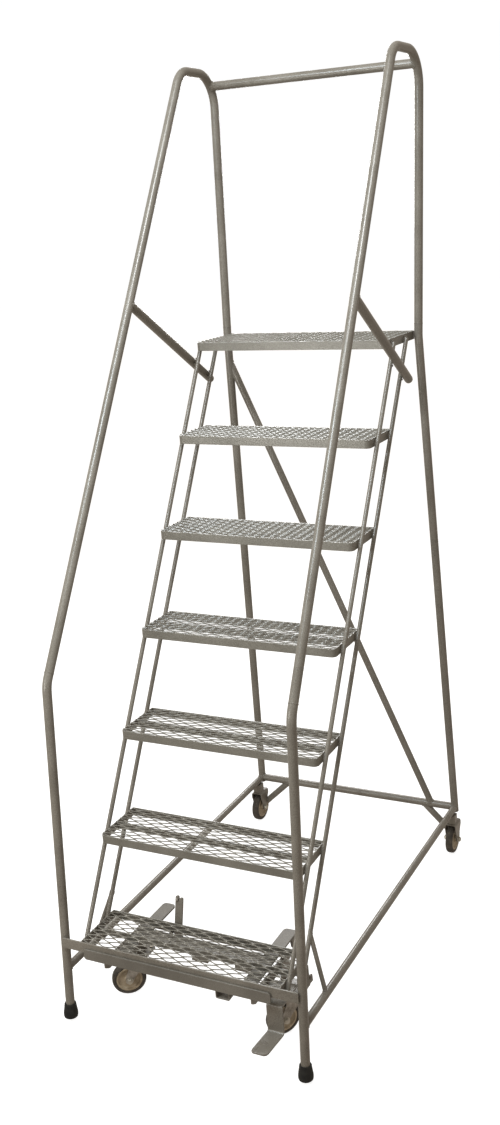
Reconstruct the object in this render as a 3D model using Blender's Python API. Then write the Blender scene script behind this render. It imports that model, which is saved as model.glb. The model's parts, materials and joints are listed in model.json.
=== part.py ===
"""Seven-step rolling warehouse ladder: welded tube frame, expanded-metal steps, foot-operated front casters.

Units are metres and +Z is up. Points are written in ladder coordinates: X is to the right of someone facing
the steps, Y runs back from the front feet, and Z is the height above the floor. LADDER_ORIGIN moves them so
that the model's own origin is at the bottom centre of its box.
"""

import math

import bmesh
import bpy
from mathutils import Matrix, Vector

# ---- Driving dimensions ----
LADDER_ORIGIN = Vector((0.0, -0.60275, 0.0))
GAP = 0.0004

TUBE_RADIUS = 0.0127
TUBE_WALL = 0.00165
BRACE_RADIUS = 0.0111
ROD_RADIUS = 0.00635
TUBE_SIDES = 16
ROD_SIDES = 10
BEND_STEPS = 6

FOOT_X = 0.3685
FOOT_CLEARANCE = 0.0070
KNEE = Vector((0.3576, 0.0724, 1.0023))
KNEE_BEND = 0.09
SPLICE_HEIGHT = 1.0300
RAIL_TOP_FRONT = Vector((0.3266, 1.0079, 2.5540))
RAIL_TOP_REAR = Vector((0.3293, 1.2157, 2.5540))
RAIL_FRONT_BEND = 0.075
RAIL_REAR_BEND = 0.090
KINK = Vector((0.3215, 1.1717, 1.7747))
KINK_BEND = 0.15
REAR_SPLICE_ABOVE_KINK = 0.035
CORNER = Vector((0.3718, 1.2830, 0.1557))
REAR_LEG_BOTTOM = 0.1410
CROSSBAR_HEIGHT = 2.5210
BASE_TUBE_FRONT_HEIGHT = 0.1628

STEP_COUNT = 7
STEP_RISE = 0.2540
STEP_RUN = 0.1554
FIRST_STEP_TOP = 0.2666
FIRST_STEP_FRONT = 0.0020
STEP_HALF_WIDTH = 0.3072
STEP_DEPTH = 0.1760
TOP_STEP_DEPTH = 0.2440
STEP_BAR_HEIGHT = 0.0250
STEP_BAR_THICKNESS = 0.0032
STEP_CORNER = 0.0150
TREAD_THICKNESS = 0.0012
RIB_HEIGHT = 0.0190
RIB_THICKNESS = 0.0032
RIB_DROP = 0.0050

STRINGER_X = 0.3137
FRONT_STRINGER_SETBACK = 0.0541
REAR_STRINGER_SETBACK = 0.1605
STRINGER_BOTTOM = 0.2400

WHEEL_RADIUS = 0.0500
TYRE_HALF_WIDTH = 0.0120
TYRE_INNER_RADIUS = 0.0385
HUB_HALF_WIDTH = 0.0145
AXLE_RADIUS = 0.0060
SWIVEL = Vector((0.2480, 0.1850, 0.0))
TRAIL = 0.0300
LEFT_HEADING_DEG = 37.0
RIGHT_HEADING_DEG = 53.0
REAR_WHEEL = Vector((0.3720, 1.2520, WHEEL_RADIUS))

CROSSBAR_HALF_LENGTH = 0.3620
CROSSBAR_TOP = 0.2680
CROSSBAR_BOTTOM = 0.2375
ROCKER_PIVOT = Vector((0.0, 0.1520, 0.2070))
PIVOT_ROD_RADIUS = 0.0060
ARM_INNER_X = 0.2235
ARM_THICKNESS = 0.0060
TAIL_ROD = Vector((0.0, 0.2250, 0.2030))
TRIP_PIVOT = Vector((-0.1050, 0.1970, 0.2250))
TRIP_LEAN_DEG = 14.0

# ---- Materials: linear colour, roughness, metallic ----
FINISHES = {
    "powder_coat": ((0.141, 0.130, 0.112), 0.30, 0.0),
    "step_paint": ((0.150, 0.142, 0.124), 0.30, 0.0),
    "zinc": ((0.60, 0.58, 0.54), 0.30, 1.0),
    "tyre": ((0.060, 0.053, 0.045), 0.75, 0.0),
    "hub_plastic": ((0.315, 0.262, 0.185), 0.50, 0.0),
    "black_rubber": ((0.010, 0.010, 0.010), 0.60, 0.0),
}
SIDES = (("left", -1), ("right", 1))


def clear_scene():
    for old in list(bpy.data.objects):
        bpy.data.objects.remove(old, do_unlink=True)


def make_material(name):
    colour, roughness, metallic = FINISHES[name]
    material = bpy.data.materials.new(name)
    material.use_nodes = True
    shader = material.node_tree.nodes["Principled BSDF"]
    shader.inputs["Base Color"].default_value = (*colour, 1.0)
    shader.inputs["Roughness"].default_value = roughness
    shader.inputs["Metallic"].default_value = metallic
    return material


def make_empty(name, location, parent=None):
    empty = bpy.data.objects.new(name, None)
    empty.empty_display_size = 0.05
    empty.location = location
    empty.parent = parent
    bpy.context.collection.objects.link(empty)
    return empty


def make_object(name, shape, finish, parent, pivot=Vector((0.0, 0.0, 0.0))):
    """An object from a bmesh drawn in ladder coordinates, with its origin moved to the pivot."""
    bmesh.ops.translate(shape, verts=shape.verts, vec=-pivot)
    bmesh.ops.recalc_face_normals(shape, faces=shape.faces)
    mesh = bpy.data.meshes.new(name)
    shape.to_mesh(mesh)
    shape.free()
    mesh.materials.append(MATERIALS[finish])
    mesh.shade_smooth()
    mesh.set_sharp_from_angle(angle=math.radians(35))
    made = bpy.data.objects.new(name, mesh)
    made.location = pivot
    made.parent = parent
    bpy.context.collection.objects.link(made)
    return made


def make_helper(name, shape, parent, pivot=Vector((0.0, 0.0, 0.0))):
    """A cutter or an operand of a union, which isn't a part of its own."""
    helper = make_object(name, shape, "powder_coat", parent, pivot)
    helper.hide_render = True
    helper.display_type = "WIRE"
    return helper


def combine(target, operation, shapes):
    """Boolean the shapes, one after the other, into the target or out of it."""
    for number, shape in enumerate(shapes):
        word = "cut" if operation == "DIFFERENCE" else "join"
        helper = make_helper(f"{target.name}_{word}_{number}", shape, target.parent, target.location.copy())
        modifier = target.modifiers.new(f"{word}_{number}", "BOOLEAN")
        modifier.operation = operation
        modifier.solver = "EXACT"
        modifier.object = helper


# ---- Shapes ----
def mirrored(point, side):
    return Vector((point[0] * side, point[1], point[2]))


def rounded_path(corners, bends):
    """The centreline through the corners, with an arc of the given bend radius at each inner corner."""
    path = [Vector(corners[0])]
    for before, corner, after, radius in zip(corners, corners[1:], corners[2:], bends):
        back = (Vector(before) - Vector(corner)).normalized()
        ahead = (Vector(after) - Vector(corner)).normalized()
        turn = math.pi - back.angle(ahead)
        reach = radius * math.tan(turn / 2)
        middle = (back + ahead).normalized()
        centre = Vector(corner) + middle * (radius / math.cos(turn / 2))
        start = Vector(corner) + back * reach
        axis = back.cross(ahead).normalized()
        arm = start - centre
        for step in range(BEND_STEPS + 1):
            path.append(centre + Matrix.Rotation(-turn * step / BEND_STEPS, 3, axis) @ arm)
    path.append(Vector(corners[-1]))
    return path


def frames_along(path):
    """A point and two cross directions at each point of the path, with no twist between them."""
    tangents = []
    for index in range(len(path)):
        before = path[max(index - 1, 0)]
        after = path[min(index + 1, len(path) - 1)]
        tangents.append((after - before).normalized())
    seed = Vector((1.0, 0.0, 0.0))
    if abs(tangents[0].dot(seed)) > 0.8:
        seed = Vector((0.0, 0.0, 1.0))
    across = (seed - tangents[0] * seed.dot(tangents[0])).normalized()
    frames = []
    for point, tangent in zip(path, tangents):
        across = (across - tangent * across.dot(tangent)).normalized()
        frames.append((point, across, tangent.cross(across)))
    return frames


def add_ring(shape, frame, width, height, sides):
    point, across, up = frame
    ring = []
    for index in range(sides):
        angle = 2 * math.pi * (index + 0.5) / sides
        ring.append(shape.verts.new(point + across * width * math.cos(angle) + up * height * math.sin(angle)))
    return ring


def bridge(shape, first, second):
    count = len(first)
    for index in range(count):
        following = (index + 1) % count
        shape.faces.new((first[index], first[following], second[following], second[index]))


def swept(path, radius, wall=None, sides=TUBE_SIDES, squash=None):
    """A tube with open ends along the path, or a solid bar when it has no wall.

    squash(index) gives the (width, height) factors of the section at the path's point of that index.
    """
    shape = bmesh.new()
    frames = frames_along(path)
    outer, inner = [], []
    for index, frame in enumerate(frames):
        wide, high = squash(index) if squash else (1.0, 1.0)
        outer.append(add_ring(shape, frame, radius * wide, radius * high, sides))
        if wall:
            inner.append(add_ring(shape, frame, radius * wide - wall, radius * high - wall, sides))
    for first, second in zip(outer, outer[1:]):
        bridge(shape, first, second)
    if wall:
        for first, second in zip(inner, inner[1:]):
            bridge(shape, second, first)
        bridge(shape, inner[0], outer[0])
        bridge(shape, outer[-1], inner[-1])
    else:
        shape.faces.new(list(reversed(outer[0])))
        shape.faces.new(outer[-1])
    return shape


def bar(start, end, radius, sides=TUBE_SIDES):
    return swept([Vector(start), Vector(end)], radius, sides=sides)


def box(low, high):
    shape = bmesh.new()
    bmesh.ops.create_cube(shape, size=1.0)
    low, high = Vector(low), Vector(high)
    bmesh.ops.scale(shape, vec=high - low, verts=shape.verts)
    bmesh.ops.translate(shape, vec=(low + high) / 2, verts=shape.verts)
    return shape


def side_box(side, inner, outer, y_range, z_range):
    """A box given by its distances from the middle plane, on the left or the right."""
    x_low, x_high = sorted((side * inner, side * outer))
    return box((x_low, y_range[0], z_range[0]), (x_high, y_range[1], z_range[1]))


def plate_yz(outline, x_from, x_to):
    """A flat plate whose outline is a list of (y, z) and whose faces look along X."""
    shape = bmesh.new()
    near = [shape.verts.new((x_from, y, z)) for y, z in outline]
    far = [shape.verts.new((x_to, y, z)) for y, z in outline]
    shape.faces.new(near)
    shape.faces.new(list(reversed(far)))
    bridge(shape, far, near)
    return shape


def plate_xy(outline, z_from, z_to):
    shape = bmesh.new()
    near = [shape.verts.new((x, y, z_from)) for x, y in outline]
    far = [shape.verts.new((x, y, z_to)) for x, y in outline]
    shape.faces.new(near)
    shape.faces.new(list(reversed(far)))
    bridge(shape, far, near)
    return shape


def plate_xz(outline, y_from, y_to):
    shape = bmesh.new()
    near = [shape.verts.new((x, y_from, z)) for x, z in outline]
    far = [shape.verts.new((x, y_to, z)) for x, z in outline]
    shape.faces.new(near)
    shape.faces.new(list(reversed(far)))
    bridge(shape, far, near)
    return shape


def arc(centre, radius, start_deg, end_deg, steps=6):
    points = []
    for step in range(steps + 1):
        angle = math.radians(start_deg + (end_deg - start_deg) * step / steps)
        points.append((centre[0] + radius * math.cos(angle), centre[1] + radius * math.sin(angle)))
    return points


def rounded_rectangle(low, high, radii, steps=4):
    """Corner radii go anticlockwise from the low corner."""
    centres = (
        (low[0], low[1], 1, 1),
        (high[0], low[1], -1, 1),
        (high[0], high[1], -1, -1),
        (low[0], high[1], 1, -1),
    )
    points = []
    for quarter, ((x, y, inward_x, inward_y), radius) in enumerate(zip(centres, radii)):
        centre = (x + inward_x * radius, y + inward_y * radius)
        points += arc(centre, radius, 180 + 90 * quarter, 270 + 90 * quarter, steps)
    return points


def lathe_x(profile, sides=28):
    """A ring turned round the X axis from a closed profile of (radius, x)."""
    shape = bmesh.new()
    rings = []
    for index in range(sides):
        angle = 2 * math.pi * index / sides
        rings.append([shape.verts.new((x, r * math.cos(angle), r * math.sin(angle))) for r, x in profile])
    for index in range(sides):
        bridge(shape, rings[index], rings[(index + 1) % sides])
    return shape


def moved(shape, matrix):
    bmesh.ops.transform(shape, matrix=matrix, verts=shape.verts)
    return shape


# ---- Frame ----
def point_between(low, high, height):
    return low.lerp(high, (height - low.z) / (high.z - low.z))


def frame_paths(side):
    """Centrelines of one side's front leg, handrail and rear leg."""
    foot = Vector((FOOT_X, 0.0, 0.0))
    start = point_between(foot, KNEE, FOOT_CLEARANCE + 0.0065)
    splice = point_between(KNEE, RAIL_TOP_FRONT, SPLICE_HEIGHT)
    rear_splice = point_between(KINK, RAIL_TOP_REAR, KINK.z + REAR_SPLICE_ABOVE_KINK)
    rail_start = point_between(KNEE, RAIL_TOP_FRONT, SPLICE_HEIGHT + GAP)
    rail_end = point_between(KINK, RAIL_TOP_REAR, KINK.z + REAR_SPLICE_ABOVE_KINK + GAP)
    bottom = point_between(CORNER, KINK, REAR_LEG_BOTTOM)
    leg = rounded_path([start, KNEE, splice], [KNEE_BEND])
    rail = rounded_path(
        [rail_start, RAIL_TOP_FRONT, RAIL_TOP_REAR, rail_end],
        [RAIL_FRONT_BEND, RAIL_REAR_BEND],
    )
    rear = rounded_path([rear_splice, KINK, bottom], [KINK_BEND])
    return [[mirrored(point, side) for point in path] for path in (leg, rail, rear)]


def stringer_y(setback, height):
    return FIRST_STEP_FRONT + setback + (height - FIRST_STEP_TOP) * STEP_RUN / STEP_RISE


def stringer_point(setback, height, side):
    return Vector((side * STRINGER_X, stringer_y(setback, height), height))


def step_front(number):
    return FIRST_STEP_FRONT + (number - 1) * STEP_RUN


def step_top(number):
    return FIRST_STEP_TOP + (number - 1) * STEP_RISE


def top_stop():
    return step_top(STEP_COUNT) - 0.014


def build_side_frame(word, side, root):
    leg, rail, rear = frame_paths(side)
    make_object(f"front_leg_{word}", swept(leg, TUBE_RADIUS, TUBE_WALL), "powder_coat", root)
    make_object(f"handrail_{word}", swept(rail, TUBE_RADIUS, TUBE_WALL), "powder_coat", root)
    make_object(f"rear_leg_{word}", swept(rear, TUBE_RADIUS, TUBE_WALL), "powder_coat", root)


def leg_cutter(side, which):
    """A solid slightly fatter than a frame tube, to shape the end of a tube that is welded to it."""
    return swept(frame_paths(side)[which], TUBE_RADIUS + GAP)


def base_tube_ends(side):
    front = point_between(Vector((FOOT_X, 0.0, 0.0)), KNEE, BASE_TUBE_FRONT_HEIGHT)
    return mirrored(front, side), mirrored(CORNER, side)


def build_base_tube(word, side, root):
    front, rear = base_tube_ends(side)
    shape = swept([front, rear], BRACE_RADIUS, TUBE_WALL)
    tube = make_object(f"base_tube_{word}", shape, "powder_coat", root)
    cross = bar(mirrored(CORNER, -1), mirrored(CORNER, 1), TUBE_RADIUS + GAP)
    combine(tube, "DIFFERENCE", [leg_cutter(side, 0), leg_cutter(side, 2), cross])


def build_rear_crossbar(root):
    ends = [mirrored(CORNER, side) for side in (-1, 1)]
    tube = make_object("rear_crossbar", swept(ends, TUBE_RADIUS, TUBE_WALL), "powder_coat", root)
    combine(tube, "DIFFERENCE", [leg_cutter(-1, 2), leg_cutter(1, 2)])


def build_handrail_crossbar(root):
    rail = frame_paths(1)[1]
    above = min(rail, key=lambda point: abs(point.z - CROSSBAR_HEIGHT) + (10.0 if point.y < KINK.y else 0.0))
    ends = [Vector((side * above.x, above.y, CROSSBAR_HEIGHT)) for side in (-1, 1)]
    tube = make_object("handrail_crossbar", swept(ends, TUBE_RADIUS, TUBE_WALL), "powder_coat", root)
    combine(tube, "DIFFERENCE", [leg_cutter(-1, 1), leg_cutter(1, 1)])


DIAGONAL_TOP = Vector((-0.3195, 1.1790, 1.6900))
DIAGONAL_BOTTOM = Vector((0.2870, CORNER.y, CORNER.z))


def build_rear_diagonal(root):
    tube = make_object(
        "rear_diagonal_brace",
        swept([DIAGONAL_TOP, DIAGONAL_BOTTOM], BRACE_RADIUS, TUBE_WALL),
        "powder_coat",
        root,
    )
    bar_ends = [mirrored(CORNER, side) for side in (-1, 1)]
    combine(tube, "DIFFERENCE", [leg_cutter(-1, 2), bar(*bar_ends, TUBE_RADIUS + GAP)])


CASTER_BRACE_TOP = Vector((0.2580, CORNER.y, CORNER.z))
CASTER_BRACE_BOTTOM = Vector((0.3620, CORNER.y - 0.003, 0.0560))


def build_caster_brace(word, side, root):
    ends = [mirrored(CASTER_BRACE_TOP, side), mirrored(CASTER_BRACE_BOTTOM, side)]
    tube = make_object(f"rear_caster_brace_{word}", swept(ends, BRACE_RADIUS, TUBE_WALL), "powder_coat", root)
    bar_ends = [mirrored(CORNER, end) for end in (-1, 1)]
    fork_face = REAR_WHEEL.x - FORK_OUTER - GAP
    beyond = side_box(side, fork_face, fork_face + 0.05, (1.20, 1.35), (0.0, 0.12))
    combine(tube, "DIFFERENCE", [bar(*bar_ends, TUBE_RADIUS + GAP), beyond])


def build_stringers(word, side, root):
    for where, setback in (("front", FRONT_STRINGER_SETBACK), ("rear", REAR_STRINGER_SETBACK)):
        ends = [stringer_point(setback, height, side) for height in (STRINGER_BOTTOM, top_stop())]
        make_object(f"{where}_stringer_{word}", bar(*ends, ROD_RADIUS, ROD_SIDES), "powder_coat", root)


HANDRAIL_BRACE_TOP = 1.9330
HANDRAIL_BRACE_END = 1.6590
HANDRAIL_BRACE_OVERHANG = {"left": 0.0480, "right": 0.0350}


def build_handrail_brace(word, side, root):
    """A tube from the handrail down past the outer side of the two stringers, pinched at its end."""
    top = point_between(KNEE, RAIL_TOP_FRONT, HANDRAIL_BRACE_TOP)
    end_x = STRINGER_X + ROD_RADIUS + GAP + TUBE_RADIUS
    end_y = stringer_y(REAR_STRINGER_SETBACK, HANDRAIL_BRACE_END) + HANDRAIL_BRACE_OVERHANG[word]
    end = Vector((end_x, end_y, HANDRAIL_BRACE_END))
    length = (end - top).length
    path = [mirrored(end.lerp(top, back / length), side) for back in (length, 0.0080, 0.0025, 0.0)]
    pinch = (1.0, 1.0, 0.88, 0.66)
    tube = make_object(
        f"handrail_brace_{word}",
        swept(path, TUBE_RADIUS, TUBE_WALL, squash=lambda index: (pinch[index], pinch[index])),
        "powder_coat",
        root,
    )
    combine(tube, "DIFFERENCE", [leg_cutter(side, 1)])


STRUT_TOP = 0.3150
STRUT_BACK_AT_BASE = 0.1560


def build_strut(word, side, root):
    top = stringer_point(REAR_STRINGER_SETBACK, STRUT_TOP, side)
    front, rear = base_tube_ends(side)
    foot = front.lerp(rear, (STRUT_BACK_AT_BASE - front.y) / (rear.y - front.y))
    strut = make_object(f"stringer_strut_{word}", bar(top, foot, ROD_RADIUS, ROD_SIDES), "powder_coat", root)
    ends = [stringer_point(REAR_STRINGER_SETBACK, height, side) for height in (STRINGER_BOTTOM, 0.5)]
    combine(strut, "DIFFERENCE", [bar(*ends, ROD_RADIUS + GAP), bar(front, rear, BRACE_RADIUS + GAP)])


def build_front_crossbar(root):
    half = CROSSBAR_HALF_LENGTH
    shape = box((-half, -0.0008, CROSSBAR_BOTTOM), (half, 0.0040, CROSSBAR_TOP))
    make_object("front_crossbar", shape, "powder_coat", root)


# ---- Steps ----
def step_extent(number):
    """Front, back, top and half width of a step's frame."""
    front = 0.0045 if number == 1 else step_front(number)
    depth = TOP_STEP_DEPTH if number == STEP_COUNT else STEP_DEPTH
    return front, step_front(number) + depth, step_top(number)


def step_ring(number):
    front, back, top = step_extent(number)
    corner = 0.004 if number == 1 else STEP_CORNER
    radii = (corner, corner, 0.004, 0.004)
    wall = STEP_BAR_THICKNESS
    outer = rounded_rectangle((-STEP_HALF_WIDTH, front), (STEP_HALF_WIDTH, back), radii)
    inner_low = (-STEP_HALF_WIDTH + wall, front + wall)
    inner_high = (STEP_HALF_WIDTH - wall, back - wall)
    inner = rounded_rectangle(inner_low, inner_high, [max(radius - wall, 0.0005) for radius in radii])
    z_high = top - TREAD_THICKNESS - GAP
    z_low = z_high - STEP_BAR_HEIGHT
    shape = bmesh.new()
    loops = []
    for outline, z in ((outer, z_low), (outer, z_high), (inner, z_high), (inner, z_low)):
        loops.append([shape.verts.new((x, y, z)) for x, y in outline])
    for first, second in zip(loops, loops[1:] + loops[:1]):
        bridge(shape, first, second)
    return shape


def build_step(number, root):
    front, back, top = step_extent(number)
    frame = make_object(f"step_{number}_frame", step_ring(number), "step_paint", root)
    z_high = top - TREAD_THICKNESS - GAP
    bite = STEP_BAR_THICKNESS * 0.6
    half_rib = RIB_THICKNESS / 2
    middle = (front + back) / 2
    rib_top = z_high - RIB_DROP
    rib_bottom = rib_top - RIB_HEIGHT
    long_rib = box(
        (-STEP_HALF_WIDTH + bite, middle - half_rib, rib_bottom),
        (STEP_HALF_WIDTH - bite, middle + half_rib, rib_top),
    )
    extras = [long_rib]
    if number == 1:
        extras += trip_bracket_shapes(back)
    combine(frame, "UNION", extras)
    radii = (0.003, 0.003, 0.003, 0.003) if number == 1 else (STEP_CORNER, STEP_CORNER, 0.003, 0.003)
    outline = rounded_rectangle((-STEP_HALF_WIDTH, front), (STEP_HALF_WIDTH, back), radii)
    tread = plate_xy(outline, top - TREAD_THICKNESS, top)
    make_object(f"step_{number}_tread", tread, "step_paint", root)


def trip_bracket_shapes(back):
    """Two ears behind the first step and the bolt that the trip lever turns on."""
    shapes = []
    for x in (TRIP_PIVOT.x - 0.0165, TRIP_PIVOT.x + 0.0165):
        outline = [(back - 0.002, 0.2450), (back - 0.002, 0.2210)]
        outline += arc((TRIP_PIVOT.y, TRIP_PIVOT.z), 0.0090, -100, 60, 6)
        shapes.append(plate_yz(outline, x - 0.0016, x + 0.0016))
    reach = Vector((0.0240, 0.0, 0.0))
    shapes.append(bar(TRIP_PIVOT - reach, TRIP_PIVOT + reach, 0.0038, 12))
    return shapes


# ---- Feet ----
def build_foot(word, side, root):
    """A rubber tip turned round the leg's line and cut flat at its bottom, just clear of the floor."""
    profile = (
        (-0.0100, 0.0165),
        (0.0000, 0.0172),
        (0.0060, 0.0203),
        (0.0140, 0.0205),
        (0.0360, 0.0172),
        (0.0440, 0.0160),
    )
    shape = bmesh.new()
    rings = []
    for height, radius in profile:
        centre = mirrored(point_between(Vector((FOOT_X, 0.0, 0.0)), KNEE, FOOT_CLEARANCE + height), side)
        rings.append(add_ring(shape, (centre, Vector((1, 0, 0)), Vector((0, 1, 0))), radius, radius, 24))
    for first, second in zip(rings, rings[1:]):
        bridge(shape, first, second)
    shape.faces.new(list(reversed(rings[0])))
    shape.faces.new(rings[-1])
    foot = make_object(f"rubber_foot_{word}", shape, "black_rubber", root)
    below = side_box(side, 0.30, 0.44, (-0.06, 0.06), (-0.03, FOOT_CLEARANCE))
    combine(foot, "DIFFERENCE", [below, foot_socket(side)])


def foot_socket(side):
    foot = Vector((FOOT_X, 0.0, 0.0))
    heights = (FOOT_CLEARANCE + 0.0060, 0.0800)
    ends = [mirrored(point_between(foot, KNEE, height), side) for height in heights]
    return bar(*ends, TUBE_RADIUS + GAP)


# ---- Casters ----
FORK_INNER = 0.0168
FORK_OUTER = 0.0198
FORK_AXLE_END = 0.0115
CROWN_TOP = 0.1130
CROWN_BOTTOM = 0.1090


def fork_leg_outline(wheel_y, wheel_z, crown_front, crown_back):
    """(y, z) outline of a fork leg: wide under the crown, round about the axle."""
    outline = [(crown_front, CROWN_TOP - 0.001), (crown_front, CROWN_BOTTOM - 0.012)]
    outline += arc((wheel_y, wheel_z), FORK_AXLE_END, 190, 350, 8)
    outline += [(crown_back, CROWN_BOTTOM - 0.012), (crown_back, CROWN_TOP - 0.001)]
    return outline


def fork_shapes(wheel_y, wheel_z, crown_front, crown_back, reach):
    """The two legs, and the axle bolt with its head and nut, round a fork drawn about X = 0."""
    outline = fork_leg_outline(wheel_y, wheel_z, crown_front, crown_back)
    shapes = [plate_yz(outline, side * FORK_INNER, side * FORK_OUTER) for side in (-1, 1)]
    shapes.append(bar((-reach, wheel_y, wheel_z), (reach, wheel_y, wheel_z), AXLE_RADIUS, 16))
    for side in (-1, 1):
        start = (side * (FORK_OUTER - 0.0005), wheel_y, wheel_z)
        end = (side * (FORK_OUTER + 0.0060), wheel_y, wheel_z)
        shapes.append(bar(start, end, 0.0095, 6))
    return shapes


def heading_matrix(place, heading_deg):
    """Turns local X, the axle, to the heading: 0 points the axle to the front, 90 to the right."""
    return Matrix.Translation(place) @ Matrix.Rotation(math.radians(heading_deg - 90), 4, "Z")


def build_front_caster(word, side, heading, rocker):
    """Fork, hub and tyre under the caster bracket; each turns on its own empty."""
    place = mirrored(SWIVEL, side)
    turn = heading_matrix(place, heading)
    wheel_z = WHEEL_RADIUS
    swivel = make_empty(f"swivel_axis_{word}", place, rocker)
    wheel = turn @ Vector((0.0, -TRAIL, wheel_z))
    crown = box((-FORK_OUTER, -0.026, CROWN_BOTTOM), (FORK_OUTER, 0.026, CROWN_TOP))
    shapes = fork_shapes(-TRAIL, wheel_z, -0.0260, 0.0140, FORK_OUTER + 0.009)
    shapes.append(bar((0, 0, CROWN_TOP - 0.001), (0, 0, 0.1205), 0.0230, 20))
    shapes.append(bar((0, 0, CROWN_TOP - 0.001), (0, 0, 0.1400), 0.0055, 12))
    shapes.append(bar((0, 0, 0.1352), (0, 0, 0.1400), 0.0100, 12))
    fork = make_object(f"front_caster_fork_{word}", moved(crown, turn), "zinc", swivel, place)
    fork.location = (0.0, 0.0, 0.0)
    for number, shape in enumerate(shapes):
        helper = make_helper(f"{fork.name}_join_{number}", moved(shape, turn), swivel, place)
        helper.location = (0.0, 0.0, 0.0)
        modifier = fork.modifiers.new(f"join_{number}", "BOOLEAN")
        modifier.operation = "UNION"
        modifier.solver = "EXACT"
        modifier.object = helper
    build_wheel(f"front_wheel_{word}", heading_matrix(wheel, heading), swivel, place)


def build_wheel(name, matrix, parent, parent_place=Vector((0.0, 0.0, 0.0))):
    """Tyre and hub, with their origins on the axle."""
    w = TYRE_HALF_WIDTH
    r = WHEEL_RADIUS
    inner = TYRE_INNER_RADIUS
    tyre = [(inner, -w * 0.85), (inner + 0.004, -w), (r - 0.004, -w * 0.92), (r - 0.0008, -w * 0.6)]
    tyre += [(r, -w * 0.3), (r, w * 0.3)]
    tyre += [(r - 0.0008, w * 0.6), (r - 0.004, w * 0.92), (inner + 0.004, w), (inner, w * 0.85)]
    bore = AXLE_RADIUS + 0.0005
    rim = inner - GAP
    hub = [(bore, -HUB_HALF_WIDTH), (0.0120, -HUB_HALF_WIDTH), (0.0140, -0.0065), (0.0300, -0.0065)]
    hub += [(0.0330, -w * 0.85), (rim, -w * 0.85), (rim, w * 0.85), (0.0330, w * 0.85)]
    hub += [(0.0300, 0.0065), (0.0140, 0.0065), (0.0120, HUB_HALF_WIDTH), (bore, HUB_HALF_WIDTH)]
    place = matrix.translation.copy()
    for part, profile, finish in (("tyre", tyre, "tyre"), ("hub", hub, "hub_plastic")):
        made = make_object(f"{name}_{part}", moved(lathe_x(profile), matrix), finish, parent, place)
        made.location = place - parent_place


def build_rear_caster(word, side, root):
    """A rigid fork under the base tube's rear end, with its axle across the ladder."""
    place = mirrored(REAR_WHEEL, side)
    shift = Matrix.Translation((place.x, place.y, 0.0))
    crown = box((-FORK_OUTER, -0.0260, CROWN_BOTTOM), (FORK_OUTER, 0.0330, CROWN_TOP))
    parts = fork_shapes(0.0, REAR_WHEEL.z, -0.0240, 0.0330, FORK_OUTER + 0.009)
    shapes = [moved(shape, shift) for shape in parts]
    stem_top = CORNER.z - BRACE_RADIUS - GAP
    middle = REAR_WHEEL.x
    riser = side_box(side, middle - 0.0150, middle + 0.0150, (1.232, 1.262), (0.1120, stem_top))
    fork = make_object(f"rear_caster_fork_{word}", moved(crown, shift), "powder_coat", root)
    combine(fork, "UNION", shapes + [riser])
    build_wheel(f"rear_wheel_{word}", Matrix.Translation(place), root)


# ---- Rocker: the foot-operated frame that carries the front casters ----
SUPPORT_BAR_INNER = {"left": 0.1700, "right": 0.1828}
SADDLE_LEFT_FACES = (-0.0230, 0.1120)


def build_support_bar(word, side, root):
    """A flat bar welded under the first step, with an upright ear at its tail."""
    inner = SUPPORT_BAR_INNER[word]
    shape = side_box(side, inner, inner + 0.0400, (0.0050, 0.3000), (0.2310, 0.2368))
    support = make_object(f"support_bar_{word}", shape, "powder_coat", root)
    outline = [(0.3000, 0.2330), (0.2600, 0.2330)] + arc((0.2800, 0.2090), 0.0140, 190, 350, 8)
    combine(support, "UNION", [plate_yz(outline, side * (inner + 0.0330), side * (inner + 0.0390))])


def build_pivot_rod(root):
    """The rod that the rocker turns on, its end plates, and the cross plate whose saddles hold its middle."""
    y, z = ROCKER_PIVOT.y, ROCKER_PIVOT.z
    shape = bar((-0.3280, y, z), (0.3280, y, z), PIVOT_ROD_RADIUS, 16)
    rod = make_object("rocker_pivot_rod", shape, "powder_coat", root)
    plates = []
    for side in (-1, 1):
        outline = [(y + 0.0160, z - 0.0200), (y - 0.0200, z - 0.0180), (y - 0.0200, z + 0.0440)]
        outline += [(y - 0.0080, z + 0.0440), (y - 0.0060, z + 0.0070), (y + 0.0130, z + 0.0020)]
        plates.append(plate_yz(outline, side * 0.3215, side * 0.3260))
    low_x = GAP - SUPPORT_BAR_INNER["left"]
    high_x = SUPPORT_BAR_INNER["right"] - GAP
    plates.append(box((low_x, 0.1240, 0.2310), (high_x, 0.1640, 0.2368)))
    for face in SADDLE_LEFT_FACES:
        plates.append(box((face, 0.1242, 0.1960), (face + 0.0500, 0.1272, 0.2330)))
        for ear in (face + 0.0002, face + 0.0466):
            outline = [(0.1250, 0.2330), (0.1250, 0.1962), (0.1600, 0.1962), (0.1600, 0.2330)]
            plates.append(plate_yz(outline, ear, ear + 0.0032))
    combine(rod, "UNION", plates)


def cut_from(target, shapes, pivot=Vector((0.0, 0.0, 0.0))):
    """Cuts drawn in ladder coordinates, for an object whose origin sits on a moving empty."""
    for number, shape in enumerate(shapes):
        helper = make_helper(f"{target.name}_cut_{number}", shape, target.parent, pivot)
        helper.location = target.location.copy()
        modifier = target.modifiers.new(f"cut_{number}", "BOOLEAN")
        modifier.operation = "DIFFERENCE"
        modifier.solver = "EXACT"
        modifier.object = helper


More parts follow.
